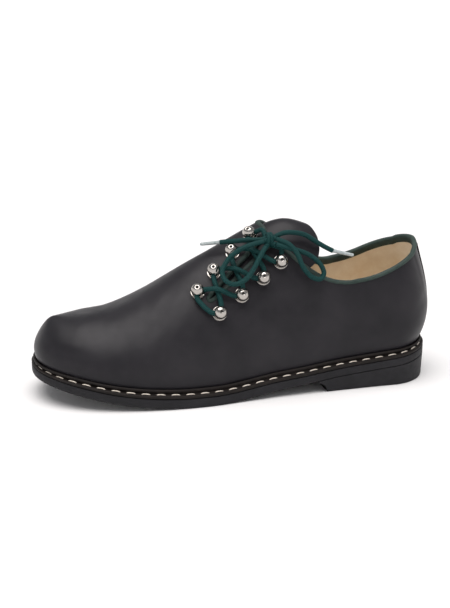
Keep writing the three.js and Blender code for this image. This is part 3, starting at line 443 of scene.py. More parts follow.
# Meshes.
def mesh_piece(name, points, faces, finish, smooth_angle=40):
    """A piece from points and faces in the last's own frame, shaded smooth up to an angle."""
    mesh = bpy.data.meshes.new(name)
    mesh.from_pydata((np.asarray(points) + SHIFT).tolist(), [], [list(face) for face in faces])
    mesh.polygons.foreach_set("use_smooth", [True] * len(mesh.polygons))
    mesh.set_sharp_from_angle(angle=np.radians(smooth_angle))
    mesh.materials.append(finish)
    piece = bpy.data.objects.new(name, mesh)
    bpy.context.collection.objects.link(piece)
    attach(piece, "root")
    return piece


def turn_outwards(piece):
    """Merges the doubles of a closed piece and turns its faces outwards."""
    build = bmesh.new()
    build.from_mesh(piece.data)
    bmesh.ops.remove_doubles(build, verts=build.verts, dist=1e-6)
    bmesh.ops.recalc_face_normals(build, faces=build.faces)
    build.to_mesh(piece.data)
    build.free()


def grid_faces(index):
    """Quads between the neighbouring rows and columns of a grid of point numbers."""
    corners = [index[:-1, :-1], index[1:, :-1], index[1:, 1:], index[:-1, 1:]]
    return np.stack(corners, -1).reshape(-1, 4)


def tube_faces(rings, sides, loop):
    """Quads of a tube from its rings, joined round and, for a loop, end to end."""
    index = np.arange(rings * sides).reshape(rings, sides)
    index = np.c_[index, index[:, :1]]
    if loop:
        index = np.r_[index, index[:1]]
    return grid_faces(index)


def catmull_rom(points, count):
    """A smooth curve through points, centripetal as in the part's source, evenly resampled."""
    points = np.asarray(points, float)
    points = np.r_[[2 * points[0] - points[1]], points, [2 * points[-1] - points[-2]]]
    gap = np.linalg.norm(np.diff(points, axis=0), axis=1) ** 0.5
    knots = np.r_[0, np.cumsum(gap)]
    t = np.linspace(knots[1], knots[-2], FINENESS["curve"])
    i = np.clip(np.searchsorted(knots, t) - 1, 1, len(points) - 3)

    def blend(a, b, ta, tb):
        return (a * (tb - t)[:, None] + b * (t - ta)[:, None]) / (tb - ta)[:, None]

    k = [knots[i + j] for j in (-1, 0, 1, 2)]
    p = [points[i + j] for j in (-1, 0, 1, 2)]
    a1, a2, a3 = (blend(p[j], p[j + 1], k[j], k[j + 1]) for j in (0, 1, 2))
    curve = blend(blend(a1, a2, k[0], k[2]), blend(a2, a3, k[1], k[3]), k[1], k[2])
    return resample(curve, count)


def resample(curve, count):
    """The same curve with its points at even distances along it."""
    run = np.r_[0, np.cumsum(np.linalg.norm(np.diff(curve, axis=0), axis=1))]
    at = np.linspace(0, run[-1], count)
    return np.stack([np.interp(at, run, curve[:, k]) for k in range(3)], -1)


def carried_frames(curve):
    """Two directions square to a curve at each point, carried along it without twist."""
    ways = unit(np.gradient(curve, axis=0))
    aside = [0.3, 0.2, 1.0]  # no cord starts this way
    side = unit(np.cross(ways[0], aside))
    sides = [side]
    for way in ways[1:]:
        side = unit(side - way * (side @ way))
        sides.append(side)
    sides = np.array(sides)
    return sides, np.cross(ways, sides)


def cord_mesh(curve, radius):
    """Points and faces of a round cord: circles square to a curve, joined and closed by fans.

    The radius is a number or one per point of the curve.
    """
    count, sides = len(curve), CORD_SIDES
    radius = np.broadcast_to(radius, count)
    one, two = carried_frames(curve)
    angle = np.linspace(0, 2 * np.pi, sides, endpoint=False)
    ring = one[:, None] * np.cos(angle)[:, None] + two[:, None] * np.sin(angle)[:, None]
    points = (curve[:, None] + ring * radius[:, None, None]).reshape(-1, 3)
    points = np.r_[points, curve[[0, -1]]]
    faces = tube_faces(count, sides, loop=False)[:, ::-1]
    around = np.arange(sides)
    after = (around + 1) % sides
    start = np.stack([np.full(sides, count * sides), after, around], -1)[:, ::-1]
    last = (count - 1) * sides
    end = np.stack([np.full(sides, count * sides + 1), last + around, last + after], -1)[:, ::-1]
    return points, [*faces.tolist(), *start.tolist(), *end.tolist()]


def cord_map(curve):
    """Map of a cord's face corners: once round in U, and V in diameters of run along it."""
    sides = CORD_SIDES
    run = np.r_[0, np.cumsum(np.linalg.norm(np.diff(curve, axis=0), axis=1))] / LACE_DIAMETER
    grid = np.stack(np.meshgrid(np.arange(sides + 1) / sides, run), -1)
    quads = np.stack([grid[:-1, 1:], grid[1:, 1:], grid[1:, :-1], grid[:-1, :-1]], 2)
    caps = np.zeros((2 * sides, 3, 2))
    caps[sides:, :, 1] = run[-1]
    return np.concatenate([quads.reshape(-1, 2), caps.reshape(-1, 2)])


def joined(parts):
    """Points and faces of several closed shells as one mesh."""
    points = np.concatenate([part[0] for part in parts])
    starts = np.cumsum([0] + [len(part[0]) for part in parts[:-1]])
    faces = [[i + start for i in face] for start, part in zip(starts, parts) for face in part[1]]
    return points, faces


def cord_piece(name, cords):
    """One piece of round lace from curves and their radii, with a map for the braid."""
    piece = mesh_piece(name, *joined([cord_mesh(curve, radius) for curve, radius in cords]), LACE)
    layer = piece.data.uv_layers.new(name="cord")
    layer.data.foreach_set("uv", np.concatenate([cord_map(curve) for curve, _ in cords]).ravel())
    return piece


# Materials.
def material(name, colour, roughness, sockets=None):
    """A principled material, its node tree and its shader, with the shader's own sockets set."""
    made = bpy.data.materials.new(name)
    made.use_nodes = True
    shader = made.node_tree.nodes["Principled BSDF"]
    values = {"Base Color": (*colour, 1), "Roughness": roughness, **(sockets or {})}
    for key, value in values.items():
        shader.inputs[key].default_value = value
    return made, made.node_tree, shader


def node(tree, kind, **values):
    """A shader node with its sockets, or its properties where no socket has the name, set."""
    made = tree.nodes.new(kind)
    for key, value in values.items():
        if key in made.inputs:
            made.inputs[key].default_value = value
        else:
            setattr(made, key, value)
    return made


def noise(tree, scale, detail=4):
    """Noise on Object coordinates, from about 0.3 to 0.7 over most of a surface."""
    place = node(tree, "ShaderNodeTexCoord")
    made = node(tree, "ShaderNodeTexNoise", Scale=scale, Detail=detail, Roughness=0.55)
    tree.links.new(place.outputs["Object"], made.inputs["Vector"])
    return made.outputs["Fac"]


def cells(tree, scale):
    """Rounded cells on Object coordinates, 0 in the middle of each."""
    place = node(tree, "ShaderNodeTexCoord")
    made = node(tree, "ShaderNodeTexVoronoi", feature="SMOOTH_F1", Scale=scale)
    tree.links.new(place.outputs["Object"], made.inputs["Vector"])
    return made.outputs["Distance"]


def tint(tree, shader, factor, dark, light, low=0.3, high=0.7):
    """Base colour, from dark to light as the factor goes from low to high."""
    share = node(tree, "ShaderNodeMapRange", clamp=True)
    share.inputs["From Min"].default_value = low
    share.inputs["From Max"].default_value = high
    tree.links.new(factor, share.inputs["Value"])
    mix = node(tree, "ShaderNodeMix", data_type="RGBA")
    mix.inputs["A"].default_value = (*dark, 1)
    mix.inputs["B"].default_value = (*light, 1)
    tree.links.new(share.outputs["Result"], mix.inputs["Factor"])
    tree.links.new(mix.outputs["Result"], shader.inputs["Base Color"])


def uneven(tree, shader, factor, low, high):
    """Roughness, from low to high as the factor goes from 0.3 to 0.7."""
    share = node(tree, "ShaderNodeMapRange", clamp=True)
    for key, value in {"From Min": 0.3, "From Max": 0.7, "To Min": low, "To Max": high}.items():
        share.inputs[key].default_value = value
    tree.links.new(factor, share.inputs["Value"])
    tree.links.new(share.outputs["Result"], shader.inputs["Roughness"])


def bump(tree, shader, heights):
    """Chained bumps, each from a height, a strength and a distance in metres."""
    before = None
    for height, strength, distance in heights:
        made = node(tree, "ShaderNodeBump", Strength=strength, Distance=distance)
        tree.links.new(height, made.inputs["Height"])
        if before:
            tree.links.new(before.outputs["Normal"], made.inputs["Normal"])
        before = made
    tree.links.new(before.outputs["Normal"], shader.inputs["Normal"])


def leather_material():
    """Smooth dark leather: cloudy warm grey, fine pores, soft undulation and a thin waxy coat."""
    waxed = {"Coat Weight": 0.05, "Coat Roughness": 0.4, "Specular IOR Level": 0.17}
    made, tree, shader = material("smooth_leather", (0.0176, 0.0165, 0.0194), 0.4, waxed)
    clouds = noise(tree, 28, 3)
    tint(tree, shader, clouds, (0.0132, 0.0124, 0.0150), (0.0220, 0.0205, 0.0238), 0.35, 0.68)
    uneven(tree, shader, noise(tree, 130), 0.36, 0.46)
    bump(tree, shader, [(noise(tree, 60, 2), 0.25, 0.0006), (cells(tree, 2200), 0.12, 0.0002)])
    return made


def cut_edge_shade_material():
    """Cut edge of the leather: darker and matt, its darkness also painted shade along a sheet's
    rim.
    """
    dull = {"Specular IOR Level": 0.1}
    made, tree, shader = material("leather_cut_edge_shade", (0.006, 0.0055, 0.006), 0.8, dull)
    tint(tree, shader, noise(tree, 700, 3), (0.004, 0.0037, 0.004), (0.009, 0.008, 0.0085))
    bump(tree, shader, [(noise(tree, 2200, 3), 0.3, 0.0001)])
    return made


def lining_material():
    """Undyed lining: light warm beige, cloudy, with a brushed nap."""
    made, tree, shader = material("lining", (0.86, 0.72, 0.53), 0.9, {"Sheen Weight": 0.25})
    tint(tree, shader, noise(tree, 90, 6), (0.80, 0.65, 0.46), (0.92, 0.80, 0.62))
    bump(tree, shader, [(noise(tree, 260), 0.35, 0.0005), (noise(tree, 2600, 2), 0.3, 0.0002)])
    return made


def rubber_material():
    """Dull dark grey rubber with a fine moulded grain."""
    dull = {"Specular IOR Level": 0.2}
    made, tree, shader = material("sole_rubber", (0.0155, 0.015, 0.017), 0.62, dull)
    tint(tree, shader, noise(tree, 55), (0.012, 0.0118, 0.0135), (0.019, 0.0185, 0.021))
    uneven(tree, shader, noise(tree, 300), 0.55, 0.7)
    bump(tree, shader, [(noise(tree, 3200, 3), 0.25, 0.0002)])
    return made


def welt_material():
    """Brown-grey edge leather, a little worn and waxed."""
    dull = {"Specular IOR Level": 0.2}
    made, tree, shader = material("welt_leather", (0.009, 0.0065, 0.0055), 0.6, dull)
    tint(tree, shader, noise(tree, 160, 6), (0.006, 0.0045, 0.004), (0.0125, 0.009, 0.0075))
    bump(tree, shader, [(noise(tree, 1800), 0.3, 0.0002)])
    return made


def thread_material():
    """Waxed cream thread with a fine uneven twist."""
    made, tree, shader = material("welt_thread", (0.66, 0.6, 0.52), 0.6)
    tint(tree, shader, noise(tree, 900, 3), (0.5, 0.43, 0.35), (0.74, 0.69, 0.62))
    bump(tree, shader, [(noise(tree, 2800, 2), 0.5, 0.0002)])
    return made


def binding_material():
    """Grey-green binding leather with a soft grain."""
    dull = {"Specular IOR Level": 0.25}
    made, tree, shader = material("binding_leather", (0.030, 0.048, 0.042), 0.6, dull)
    tint(tree, shader, noise(tree, 140, 5), (0.020, 0.035, 0.030), (0.040, 0.062, 0.054))
    bump(tree, shader, [(cells(tree, 2600), 0.3, 0.0002)])
    return made


def lace_material():
    """Round braided lace: two sets of slanted ribs from the cord's own map.

    Each set is a sine of the map, eight ribs round the cord and 2.2 per diameter along it, one
    slanted each way, and the braid's height is the higher of the two. The base colour follows
    that height, darker in the grooves and lighter on the crests: painted shade and painted
    highlight.
    """
    dull = {"Specular IOR Level": 0.2}
    made, tree, shader = material("lace_cord", (0.003, 0.045, 0.044), 0.65, dull)
    place = node(tree, "ShaderNodeTexCoord")
    braid = node(tree, "ShaderNodeMath", operation="MAXIMUM")
    for side, slant in enumerate((1, -1)):
        turn = node(tree, "ShaderNodeVectorMath", operation="DOT_PRODUCT")
        turn.inputs[1].default_value = (8 * 2 * np.pi, slant * 2.2 * 2 * np.pi, 0)
        tree.links.new(place.outputs["UV"], turn.inputs[0])
        wave = node(tree, "ShaderNodeMath", operation="SINE")
        tree.links.new(turn.outputs["Value"], wave.inputs[0])
        tree.links.new(wave.outputs["Value"], braid.inputs[side])
    ribs = braid.outputs["Value"]
    # Painted shade in the braid's grooves and painted highlight on its crests, by the ribs'
    # height.
    tint(tree, shader, ribs, (0.0012, 0.018, 0.018), (0.004, 0.050, 0.048), -0.2, 1)
    bump(tree, shader, [(ribs, 0.5, 0.00018), (noise(tree, 4000, 2), 0.2, 0.0001)])
    return made


def film_material():
    """Clear shrunk film of a lace tip, over the cord."""
    glossy = {"Coat Weight": 0.4, "Coat Roughness": 0.1}
    made, tree, shader = material("aglet_film", (0.36, 0.40, 0.40), 0.25, glossy)
    tint(tree, shader, noise(tree, 500, 2), (0.26, 0.31, 0.31), (0.46, 0.50, 0.50))
    bump(tree, shader, [(noise(tree, 1100, 2), 0.15, 0.0002)])
    return made


def nickel_material():
    """Polished nickel, faintly brushed."""
    made, tree, shader = material("nickel", (0.46, 0.435, 0.405), 0.18, {"Metallic": 1})
    uneven(tree, shader, noise(tree, 420), 0.1, 0.24)
    bump(tree, shader, [(noise(tree, 700, 2), 0.06, 0.0001)])
    return made


def recess_shade_material():
    """Painted shade: dark metal colour deep in a ball's crown, where its recess lies in shadow."""
    made, tree, shader = material("crown_recess_shade", (0.02, 0.018, 0.016), 0.6)
    tint(tree, shader, noise(tree, 900, 2), (0.012, 0.011, 0.010), (0.035, 0.031, 0.027))
    bump(tree, shader, [(noise(tree, 2500, 2), 0.2, 0.0001)])
    return made


LEATHER = leather_material()
CUT_EDGE_SHADE = cut_edge_shade_material()
LINING = lining_material()
RUBBER = rubber_material()
WELT = welt_material()
THREAD = thread_material()
BINDING = binding_material()
LACE = lace_material()
FILM = film_material()
NICKEL = nickel_material()
RECESS_SHADE = recess_shade_material()


# Camera, before the bow.
def add_camera():
    """Camera that looks at its target from an azimuth and elevation, as the photograph's did."""
    azimuth, elevation = np.radians([CAMERA_AZIMUTH, CAMERA_ELEVATION])
    back = np.array([
        np.sin(azimuth) * np.cos(elevation),
        -np.cos(azimuth) * np.cos(elevation),
        np.sin(elevation),
    ])
    right = unit(np.cross([0, 0, 1], back))
    matrix = np.eye(4)
    matrix[:3, :3] = np.stack([right, np.cross(back, right), back], 1)
    matrix[:3, 3] = CAMERA_TARGET + SHIFT + back * CAMERA_DISTANCE
    lens = bpy.data.cameras.new("photo_camera")
    lens.sensor_fit = "VERTICAL"
    lens.sensor_height = CAMERA_SENSOR
    lens.lens = CAMERA_LENS
    camera = bpy.data.objects.new("photo_camera", lens)
    camera.matrix_world = Matrix(matrix.tolist())
    bpy.context.collection.objects.link(camera)
    bpy.context.scene.camera = camera


add_camera()


# The bow: knot, two loops, two ends and their aglets.
def free_cord(name):
    """A lace's free stretch as a round cord on its own route, and that route's curve."""
    curve = catmull_rom(ROUTES[name], FINENESS["free_cord"])
    piece = cord_piece(name, [(curve, LACE_DIAMETER / 2)])
    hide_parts(name)
    return piece, curve


def aglet(end, curve):
    """Shrunk film tip: a narrow tube that starts over the lace's end, with a rounded nose.

    Its line is straight towards the tip, and its width follows the aglet's profile.
    """
    start = curve[-1]
    way = unit(np.array(AGLET_TIPS[end]) - start)
    run = np.linspace(AGLET_PROFILE["run"][0], AGLET_LENGTH, FINENESS["aglet"])
    line = start + run[:, None] * way
    width = np.interp(run, AGLET_PROFILE["run"], AGLET_PROFILE["width"]) * AGLET_DIAMETER
    name = f"aglet_{end}"
    piece = mesh_piece(name, *cord_mesh(line, width / 2), FILM)
    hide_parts(name)
    return piece


def lace_knot():
    """The knot: strands that run through from side to side, and a band wound over them.

    A strand is a smooth curve through three points, drawn in at both ends. A turn of the band
    is an ellipse round the knot's middle, cos across and sin up, that leans along the knot.
    """
    radius = LACE_DIAMETER / 2
    count = FINENESS["knot_strand"]
    drawn_in = np.full(count, radius)
    drawn_in[[0, -1]] *= KNOT_DRAWN_IN[0]
    drawn_in[[1, -2]] *= KNOT_DRAWN_IN[1]
    strands = []
    for (first, first_end), middle, (second, second_end) in KNOT_STRANDS:
        through = [ROUTES[first][first_end], KNOT + middle, ROUTES[second][second_end]]
        strands.append((catmull_rom(through, count), drawn_in))
    angle = np.linspace(0, 2 * np.pi, FINENESS["knot_turn"], endpoint=False)
    for lean, shift in KNOT_TURNS:
        ring = np.stack([
            shift + KNOT_BAND["along"] * np.sin(angle) * lean,
            KNOT_BAND["across"] * np.cos(angle),
            KNOT_BAND["up"] * np.sin(angle),
        ], -1)
        strands.append((np.r_[ring, ring[:3]] + KNOT, radius * KNOT_BAND["thickness"]))
    piece = cord_piece("lace_knot_wound", strands)
    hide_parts("lace_knot")
    return piece


KNOT_PIECE = lace_knot()
for END in ("front", "back"):
    PIECE, CURVE = free_cord(f"lace_end_{END}")
    TIP = aglet(END, CURVE)
for END in ("front", "back"):
    PIECE, CURVE = free_cord(f"lace_loop_{END}")


# Edge of the upper.
def slit_edges():
    """Both edges of the slit and the half circle round its front end, as places on the last."""
    down = np.linspace(0, 1, 10)
    half = SLIT_HALF_MOUTH + (SLIT_HALF_FRONT - SLIT_HALF_MOUTH) * down
    angle = np.linspace(-np.pi / 2, np.pi / 2, 5)[1:-1]
    return np.concatenate([
        slit_place(SLIT_LENGTH * (1 - down), -half),
        slit_place(-SLIT_HALF_FRONT * np.cos(angle), SLIT_HALF_FRONT * np.sin(angle)),
        slit_place(SLIT_LENGTH * (1 - down[::-1]), half[::-1]),
    ])


def smooth_run(rows, count):
    """A smooth run of count steps through places, with as many steps between any two."""
    table = {"at": np.linspace(0, 1, len(rows)), "round": rows[:, 0], "up": rows[:, 1]}
    at = np.linspace(0, 1, count + 1)
    return np.stack([smooth(table, "round", at), smooth(table, "up", at)], -1)


def past_heel(places):
    """The same places seen from the other side of the heel line."""
    return np.stack([-places[..., 0], 2 - places[..., 1]], -1)


def edge_neighbours(path):
    """The places before and after each one of the closed edge, over the heel line too."""
    return np.r_[past_heel(path[-1:]), path[:-1]], np.r_[path[1:], past_heel(path[:1])]


def edge_path():
    """The closed edge of the upper: the part's own path, made finer with a smooth curve.

    Collar and slit are joined, each place is twice moved half way to the middle of its two
    neighbours, and cubics through four places at a time fill in between them.
    """
    slit = slit_edges()
    outer = np.r_[np.stack(list(COLLAR_OUTER.values()), -1), slit[:1]]
    inner = np.r_[slit[-1:], np.stack(list(COLLAR_INNER.values()), -1)]
    outer = smooth_run(outer, EDGE_STEPS["outer"])[:-1]
    inner = smooth_run(inner, EDGE_STEPS["inner"])[1:-1]
    path = np.r_[outer, slit, inner]
    for _ in range(2):
        before, after = edge_neighbours(path)
        path = path / 2 + (before + after) / 4
    ends = np.r_[past_heel(path[-2:]), path, past_heel(path[:3])]
    t = np.arange(EDGE_STEPS["finer"]) / EDGE_STEPS["finer"]
    weights = np.stack([
        -t + 2 * t**2 - t**3,
        2 - 5 * t**2 + 3 * t**3,
        t + 4 * t**2 - 3 * t**3,
        t**3 - t**2,
    ], -1) / 2
    count = len(path)
    stack = np.stack([ends[k + 1 : k + 1 + count] for k in range(4)], 1)
    return np.einsum("tk,nkc->ntc", weights, stack).reshape(-1, 2)


EDGE = edge_path()
EDGE_SPAN = np.r_[past_heel(EDGE[-1:]), EDGE, past_heel(EDGE[:1])]  # a little past the heel line


def edge_binding():
    """Piping: a soft roll all round the collar, the flap's top and both edges of the slit.

    At each place of the edge it is an ellipse, sin of the angle across the leather and cos of
    it along the leather, round a middle a little below the leather's outside.
    """
    sides = FINENESS["piping"]
    before, after = edge_neighbours(EDGE)
    normal = last_slopes(EDGE[:, 0], EDGE[:, 1])[2]
    way = last_point(after[:, 0], after[:, 1]) - last_point(before[:, 0], before[:, 1])
    beside = unit(np.cross(way, normal))
    middle = skin_point(EDGE[:, 0], EDGE[:, 1], -BINDING_DEPTH)
    angle = np.linspace(0, 2 * np.pi, sides, endpoint=False)
    across = normal[:, None] * (BINDING_THICKNESS / 2 * np.sin(angle))[:, None]
    along = beside[:, None] * (BINDING_HEIGHT / 2 * np.cos(angle))[:, None]
    rings = middle[:, None] + across + along
    faces = tube_faces(len(rings), sides, loop=True)
    piece = mesh_piece("edge_piping", rings.reshape(-1, 3), faces, BINDING)
    turn_outwards(piece)
    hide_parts("edge_binding")


edge_binding()


# Upper.
def crease_lift(places):
    """Lift of the leather by its creases: each a trough with a soft ridge on both sides.

    Across a crease the lift is depth times (r squared - 1) times e to the minus r squared over
    1.4, with r the distance in half widths, and it fades out towards both ends of the run.
    """
    spots = last_point(places[:, 0], places[:, 1])
    lift = np.zeros(len(places))
    for depth, half_width, route in CREASES:
        run = smooth_run(np.array(route), CREASE_STEPS)
        line = last_point(run[:, 0], run[:, 1])
        gap = np.linalg.norm(spots[:, None] - line, axis=-1)
        near = gap.argmin(1)
        r = gap[np.arange(len(spots)), near] / half_width
        fade = np.sin(np.pi * near / CREASE_STEPS)
        lift += depth * (r**2 - 1) * np.exp(-r**2 / CREASE_SPREAD) * fade
    return lift


def inside_edge(places):
    """Whether places lie inside the opening, by counting crossings of its closed edge."""
    ring = np.r_[EDGE_SPAN, EDGE_SPAN[:1]]
    a, b = ring[:-1], ring[1:]
    x, y = places[..., 0, None], places[..., 1, None]
    spans = (a[:, 1] > y) != (b[:, 1] > y)
    rise = np.where(b[:, 1] == a[:, 1], 1, b[:, 1] - a[:, 1])
    cross = a[:, 0] + (y - a[:, 1]) * (b[:, 0] - a[:, 0]) / rise
    return ((spans & (x < cross)).sum(-1) % 2) == 1


def nearest_on_edge(places):
    """Nearest point of the edge to each place, with round and up scaled to about their size."""
    ring = EDGE_SPAN * PLACE_SCALE
    spots = places[:, None] * PLACE_SCALE
    a, way = ring[:-1], np.diff(ring, axis=0)
    t = np.clip(((spots - a) * way).sum(-1) / (way * way).sum(-1), 0, 1)
    point = a + way * t[..., None]
    best = np.linalg.norm(spots - point, axis=-1).argmin(1)
    return point[np.arange(len(places)), best] / PLACE_SCALE


def upper_sheet(name, layer, outside, inside, sheet_material):
    """The last as a sheet between two lifts, with the cells in its opening left out.

    Grid of round and up; the rows over the ridge meet at the heel and toe. Corners next to the
    opening move onto its edge, and the sheet is closed along the opening and along its foot.
    Only the leather's outside has the creases.
    """
    rounds, ups = FINENESS[layer]
    stops = (np.linspace(0, 1, rounds + 1), np.linspace(0, 2, 2 * ups + 1))
    around, up = np.meshgrid(*stops, indexing="ij")
    places = np.stack([around, up], -1)
    index = np.arange(places[..., 0].size).reshape(around.shape)
    for end in (0, -1):
        index[end, ups + 1 :] = index[end, :ups][::-1]
    middles = (places[:-1, :-1] + places[1:, 1:]) / 2
    cell = grid_faces(index)
    opening = inside_edge(middles.reshape(-1, 2))
    kept = cell[~opening]
    border = np.intersect1d(kept, cell[opening])
    flat = places.reshape(-1, 2).copy()
    flat[border] = nearest_on_edge(flat[border])
    lift = outside + crease_lift(flat) if layer == "leather" else outside
    outer = skin_point(flat[:, 0], flat[:, 1], lift)
    inner = skin_point(flat[:, 0], flat[:, 1], inside)
    count = len(outer)
    sides = np.stack([kept, np.roll(kept, -1, axis=1)], -1).reshape(-1, 2)
    sides = sides[sides[:, 0] != sides[:, 1]]
    ends = np.sort(sides, axis=1)
    _, first, uses = np.unique(ends, axis=0, return_index=True, return_counts=True)
    rim = sides[first[uses == 1]]
    walls = np.stack([rim[:, 1], rim[:, 0], rim[:, 0] + count, rim[:, 1] + count], -1)
    faces = np.concatenate([kept, kept[:, ::-1] + count, walls])
    used, packed = np.unique(faces, return_inverse=True)
    points = np.r_[outer, inner][used]
    faces = packed.reshape(faces.shape)
    rows = [list(dict.fromkeys(face)) for face in faces.tolist()]
    piece = mesh_piece(name, points, [row for row in rows if len(row) > 2], sheet_material)
    turn_outwards(piece)
    return piece


LINING_TOP = -LEATHER_THICKNESS - SHEET_GAP
UPPER_LEATHER = upper_sheet("upper_leather", "leather", 0, -LEATHER_THICKNESS, LEATHER)
UPPER_LINING = upper_sheet("upper_lining", "lining", LINING_TOP, -WALL, LINING)
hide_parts("upper")


# Tongue, back strip and facing.
def skin_patch(name, places, low, high, patch_material, rim_share=RIM_SHARE["thin"]):
    """A closed sheet over a grid of places, between two lifts of the last's surface.

    Its outermost rows and columns are thinner by a share, and where the sheet is of the dark
    leather, the narrow walls round it show the cut edge, darker than the leather: the edge's own
    dark colour and painted shade along the rim.
    """
    rows, columns = places.shape[:2]
    rim = np.ones((rows, columns))
    rim[[0, -1]] = rim_share
    rim[:, [0, -1]] = rim_share
    middle = (low + high) / 2
    half = (high - low) / 2
    top = skin_point(places[..., 0], places[..., 1], middle + half * rim)
    bottom = skin_point(places[..., 0], places[..., 1], middle - half * rim)
    index = np.arange(rows * columns).reshape(rows, columns)
    edge = np.r_[index[0, :-1], index[:-1, -1], index[-1, :0:-1], index[:0:-1, 0]]
    after = np.roll(edge, -1)
    count = rows * columns
    walls = np.stack([edge, after, after + count, edge + count], -1)
    faces = np.concatenate([grid_faces(index), grid_faces(index)[:, ::-1] + count, walls])
    points = np.r_[top.reshape(-1, 3), bottom.reshape(-1, 3)]
    piece = mesh_piece(name, points, faces, patch_material)
    # The rim walls take the cut edge's darker colour: the leather's dark edge and painted shade
    # along the rim.
    if patch_material is LEATHER:
        piece.data.materials.append(CUT_EDGE_SHADE)
        cut = np.arange(len(faces)) >= len(faces) - len(walls)
        piece.data.polygons.foreach_set("material_index", cut.astype(np.int32))
    turn_outwards(piece)
    return piece


def tongue():
    """Broad leather tongue with a rounded end, just under the upper and its piping.

    A sheet over the last from row to row of its table, with closer rows at the free end and
    closer columns at both sides: the share across is half of 1 - cos.
    """
    free_end, bend, under_vamp = (TONGUE["round"][k] for k in (0, 4, -1))
    close, wide, columns = FINENESS["tongue"]
    rows = np.r_[np.linspace(free_end, bend, close), np.linspace(bend, under_vamp, wide)[1:]]
    low = smooth(TONGUE, "low", rows, "round")
    high = smooth(TONGUE, "high", rows, "round")
    across = 0.5 - 0.5 * np.cos(np.pi * np.linspace(0, 1, columns))
    ups = low[:, None] + (high - low)[:, None] * across
    places = np.stack([np.broadcast_to(rows[:, None], ups.shape), ups], -1)
    top = -(BINDING_DEPTH + BINDING_THICKNESS / 2 + CLEARANCE)
    piece = skin_patch("tongue_leather", places, top - TONGUE_THICKNESS, top, LEATHER)
    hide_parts("tongue")


tongue()


def back_strip():
    """Narrow strip up the back, from the welt's rib to just under the piping.

    A sheet over the last, as wide on both sides of the heel line. Its top follows the collar's
    edge, and its foot lies as far up, in proportion, as the rib's crown.
    """
    low_on_heel = np.array([0, 0.3])
    half = walk(low_on_heel, np.array([0, -1.0, 0]), STRIP_WIDTH / 2)[0]
    columns, rows = FINENESS["strip"]
    rounds = np.linspace(-half, half, columns)
    inner = {"round": COLLAR_INNER["round"][:4:-1], "up": COLLAR_INNER["up"][:4:-1]}
    top_up = np.where(
        rounds < 0,
        2 - smooth(inner, "up", -rounds, "round"),
        smooth(COLLAR_OUTER, "up", rounds, "round"),
    )
    edge = np.stack([rounds, top_up], -1)
    top = walk(edge, np.array([0, 0, -1.0]), BINDING_HEIGHT / 2 + 3 * CLEARANCE)[:, 1]
    crown = WELT_THICKNESS + RIB_HEIGHT + 2 * CLEARANCE
    height = last_point(rounds, top)[:, 2] - last_point(rounds, 0 * rounds)[:, 2]
    foot = top * crown / height
    ups = foot[:, None] + (top - foot)[:, None] * np.linspace(0, 1, rows)
    places = np.stack([np.broadcast_to(rounds[:, None], ups.shape), ups], -1)
    high = CLEARANCE + STRIP_THICKNESS
    piece = skin_patch("back_strip_leather", places, 0, high, LEATHER, RIM_SHARE["full"])
    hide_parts("back_strip")


back_strip()


def collar_facing():
    """Facing inside the collar: a flat band of the piping's leather that lies on the lining.

    It follows the edge from the inner side over the heel line to the outer side, and each row
    walks from under the piping down into the shoe. Its width eases to a quarter at both ends.
    """
    last = np.argmax(EDGE[:, 0] > FACING["outer_end"])
    first = len(EDGE) - np.argmax(EDGE[::-1, 0] > FACING["inner_end"])
    run = np.r_[past_heel(EDGE[first:]), EDGE[:last]]
    ahead = last_point(run[2:, 0], run[2:, 1]) - last_point(run[:-2, 0], run[:-2, 1])
    run = run[1:-1]
    down = unit(np.cross(last_slopes(run[:, 0], run[:, 1])[2], ahead))
    down *= -np.sign(down[:, 2].mean())
    share = np.linspace(0, 1, len(run))
    width = FACING["width"] * np.clip(np.minimum(share, 1 - share) / FACING_EASE, 0.25, 1)
    stops = np.linspace(0.0004, 1, FINENESS["facing"])  # shares of the width, from the edge down
    places = np.stack([walk(run, down, width * stop) for stop in stops], 1)
    high = -WALL - SHEET_GAP
    piece = skin_patch("collar_facing", places, high - FACING["thickness"], high, BINDING)


collar_facing()


# Sole, heel, welt and insole.
def ring_stops(count):
    """Stops round the whole outline: out along the outer side, back along the inner side."""
    stops = np.linspace(0, 1, count + 1)
    around = np.r_[stops, stops[-2:0:-1]]
    inner = np.r_[np.zeros(count + 1, bool), np.ones(count - 1, bool)]
    return around, inner


def sole_ring(around, inner, inward, height, surface):
    """Points of the outline moved inwards, a height above the sole's top or bottom surface."""
    plan = inset(around, inner, np.broadcast_to(inward, around.shape))
    return np.concatenate([plan, (surface(plan[:, 0]) + height)[:, None]], -1)


def plate(name, rings, count, plate_material):
    """A plate from rings, top to bottom, closed with faces ruled straight from side to side."""
    points = np.concatenate(rings)
    size = len(rings[0])
    index = np.arange(len(rings) * size).reshape(len(rings), size)
    faces = grid_faces(np.c_[index, index[:, :1]]).tolist()
    outer = np.arange(count + 1)
    inner = (size - outer) % size
    inner[count] = count
    for level in (0, len(rings) - 1):
        cap = np.stack([outer[:-1], outer[1:], inner[1:], inner[:-1]], -1) + level * size
        faces += [list(dict.fromkeys(row)) for row in cap.tolist()]
    piece = mesh_piece(name, points, faces, plate_material, 35)
    turn_outwards(piece)
    return piece


def outsole():
    """Outsole: the outline carried down from the sole's top to its bottom, its edges rounded.

    Each ring is the outline moved inwards, a height above the surface that it belongs to.
    """
    count = FINENESS["outsole"]
    around, inner = ring_stops(count)
    edge = (
        (0.0012, 0.0, sole_top),
        (0.0003, -0.00035, sole_top),
        (0.0, -0.0011, sole_top),
        (0.0, 0.0008, sole_bottom),
        (0.0003, 0.0002, sole_bottom),
        (0.0010, 0.0, sole_bottom),
    )
    rings = [sole_ring(around, inner, *row) for row in edge]
    piece = plate("outsole_edge", rings, count, RUBBER)
    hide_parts("outsole")


outsole()


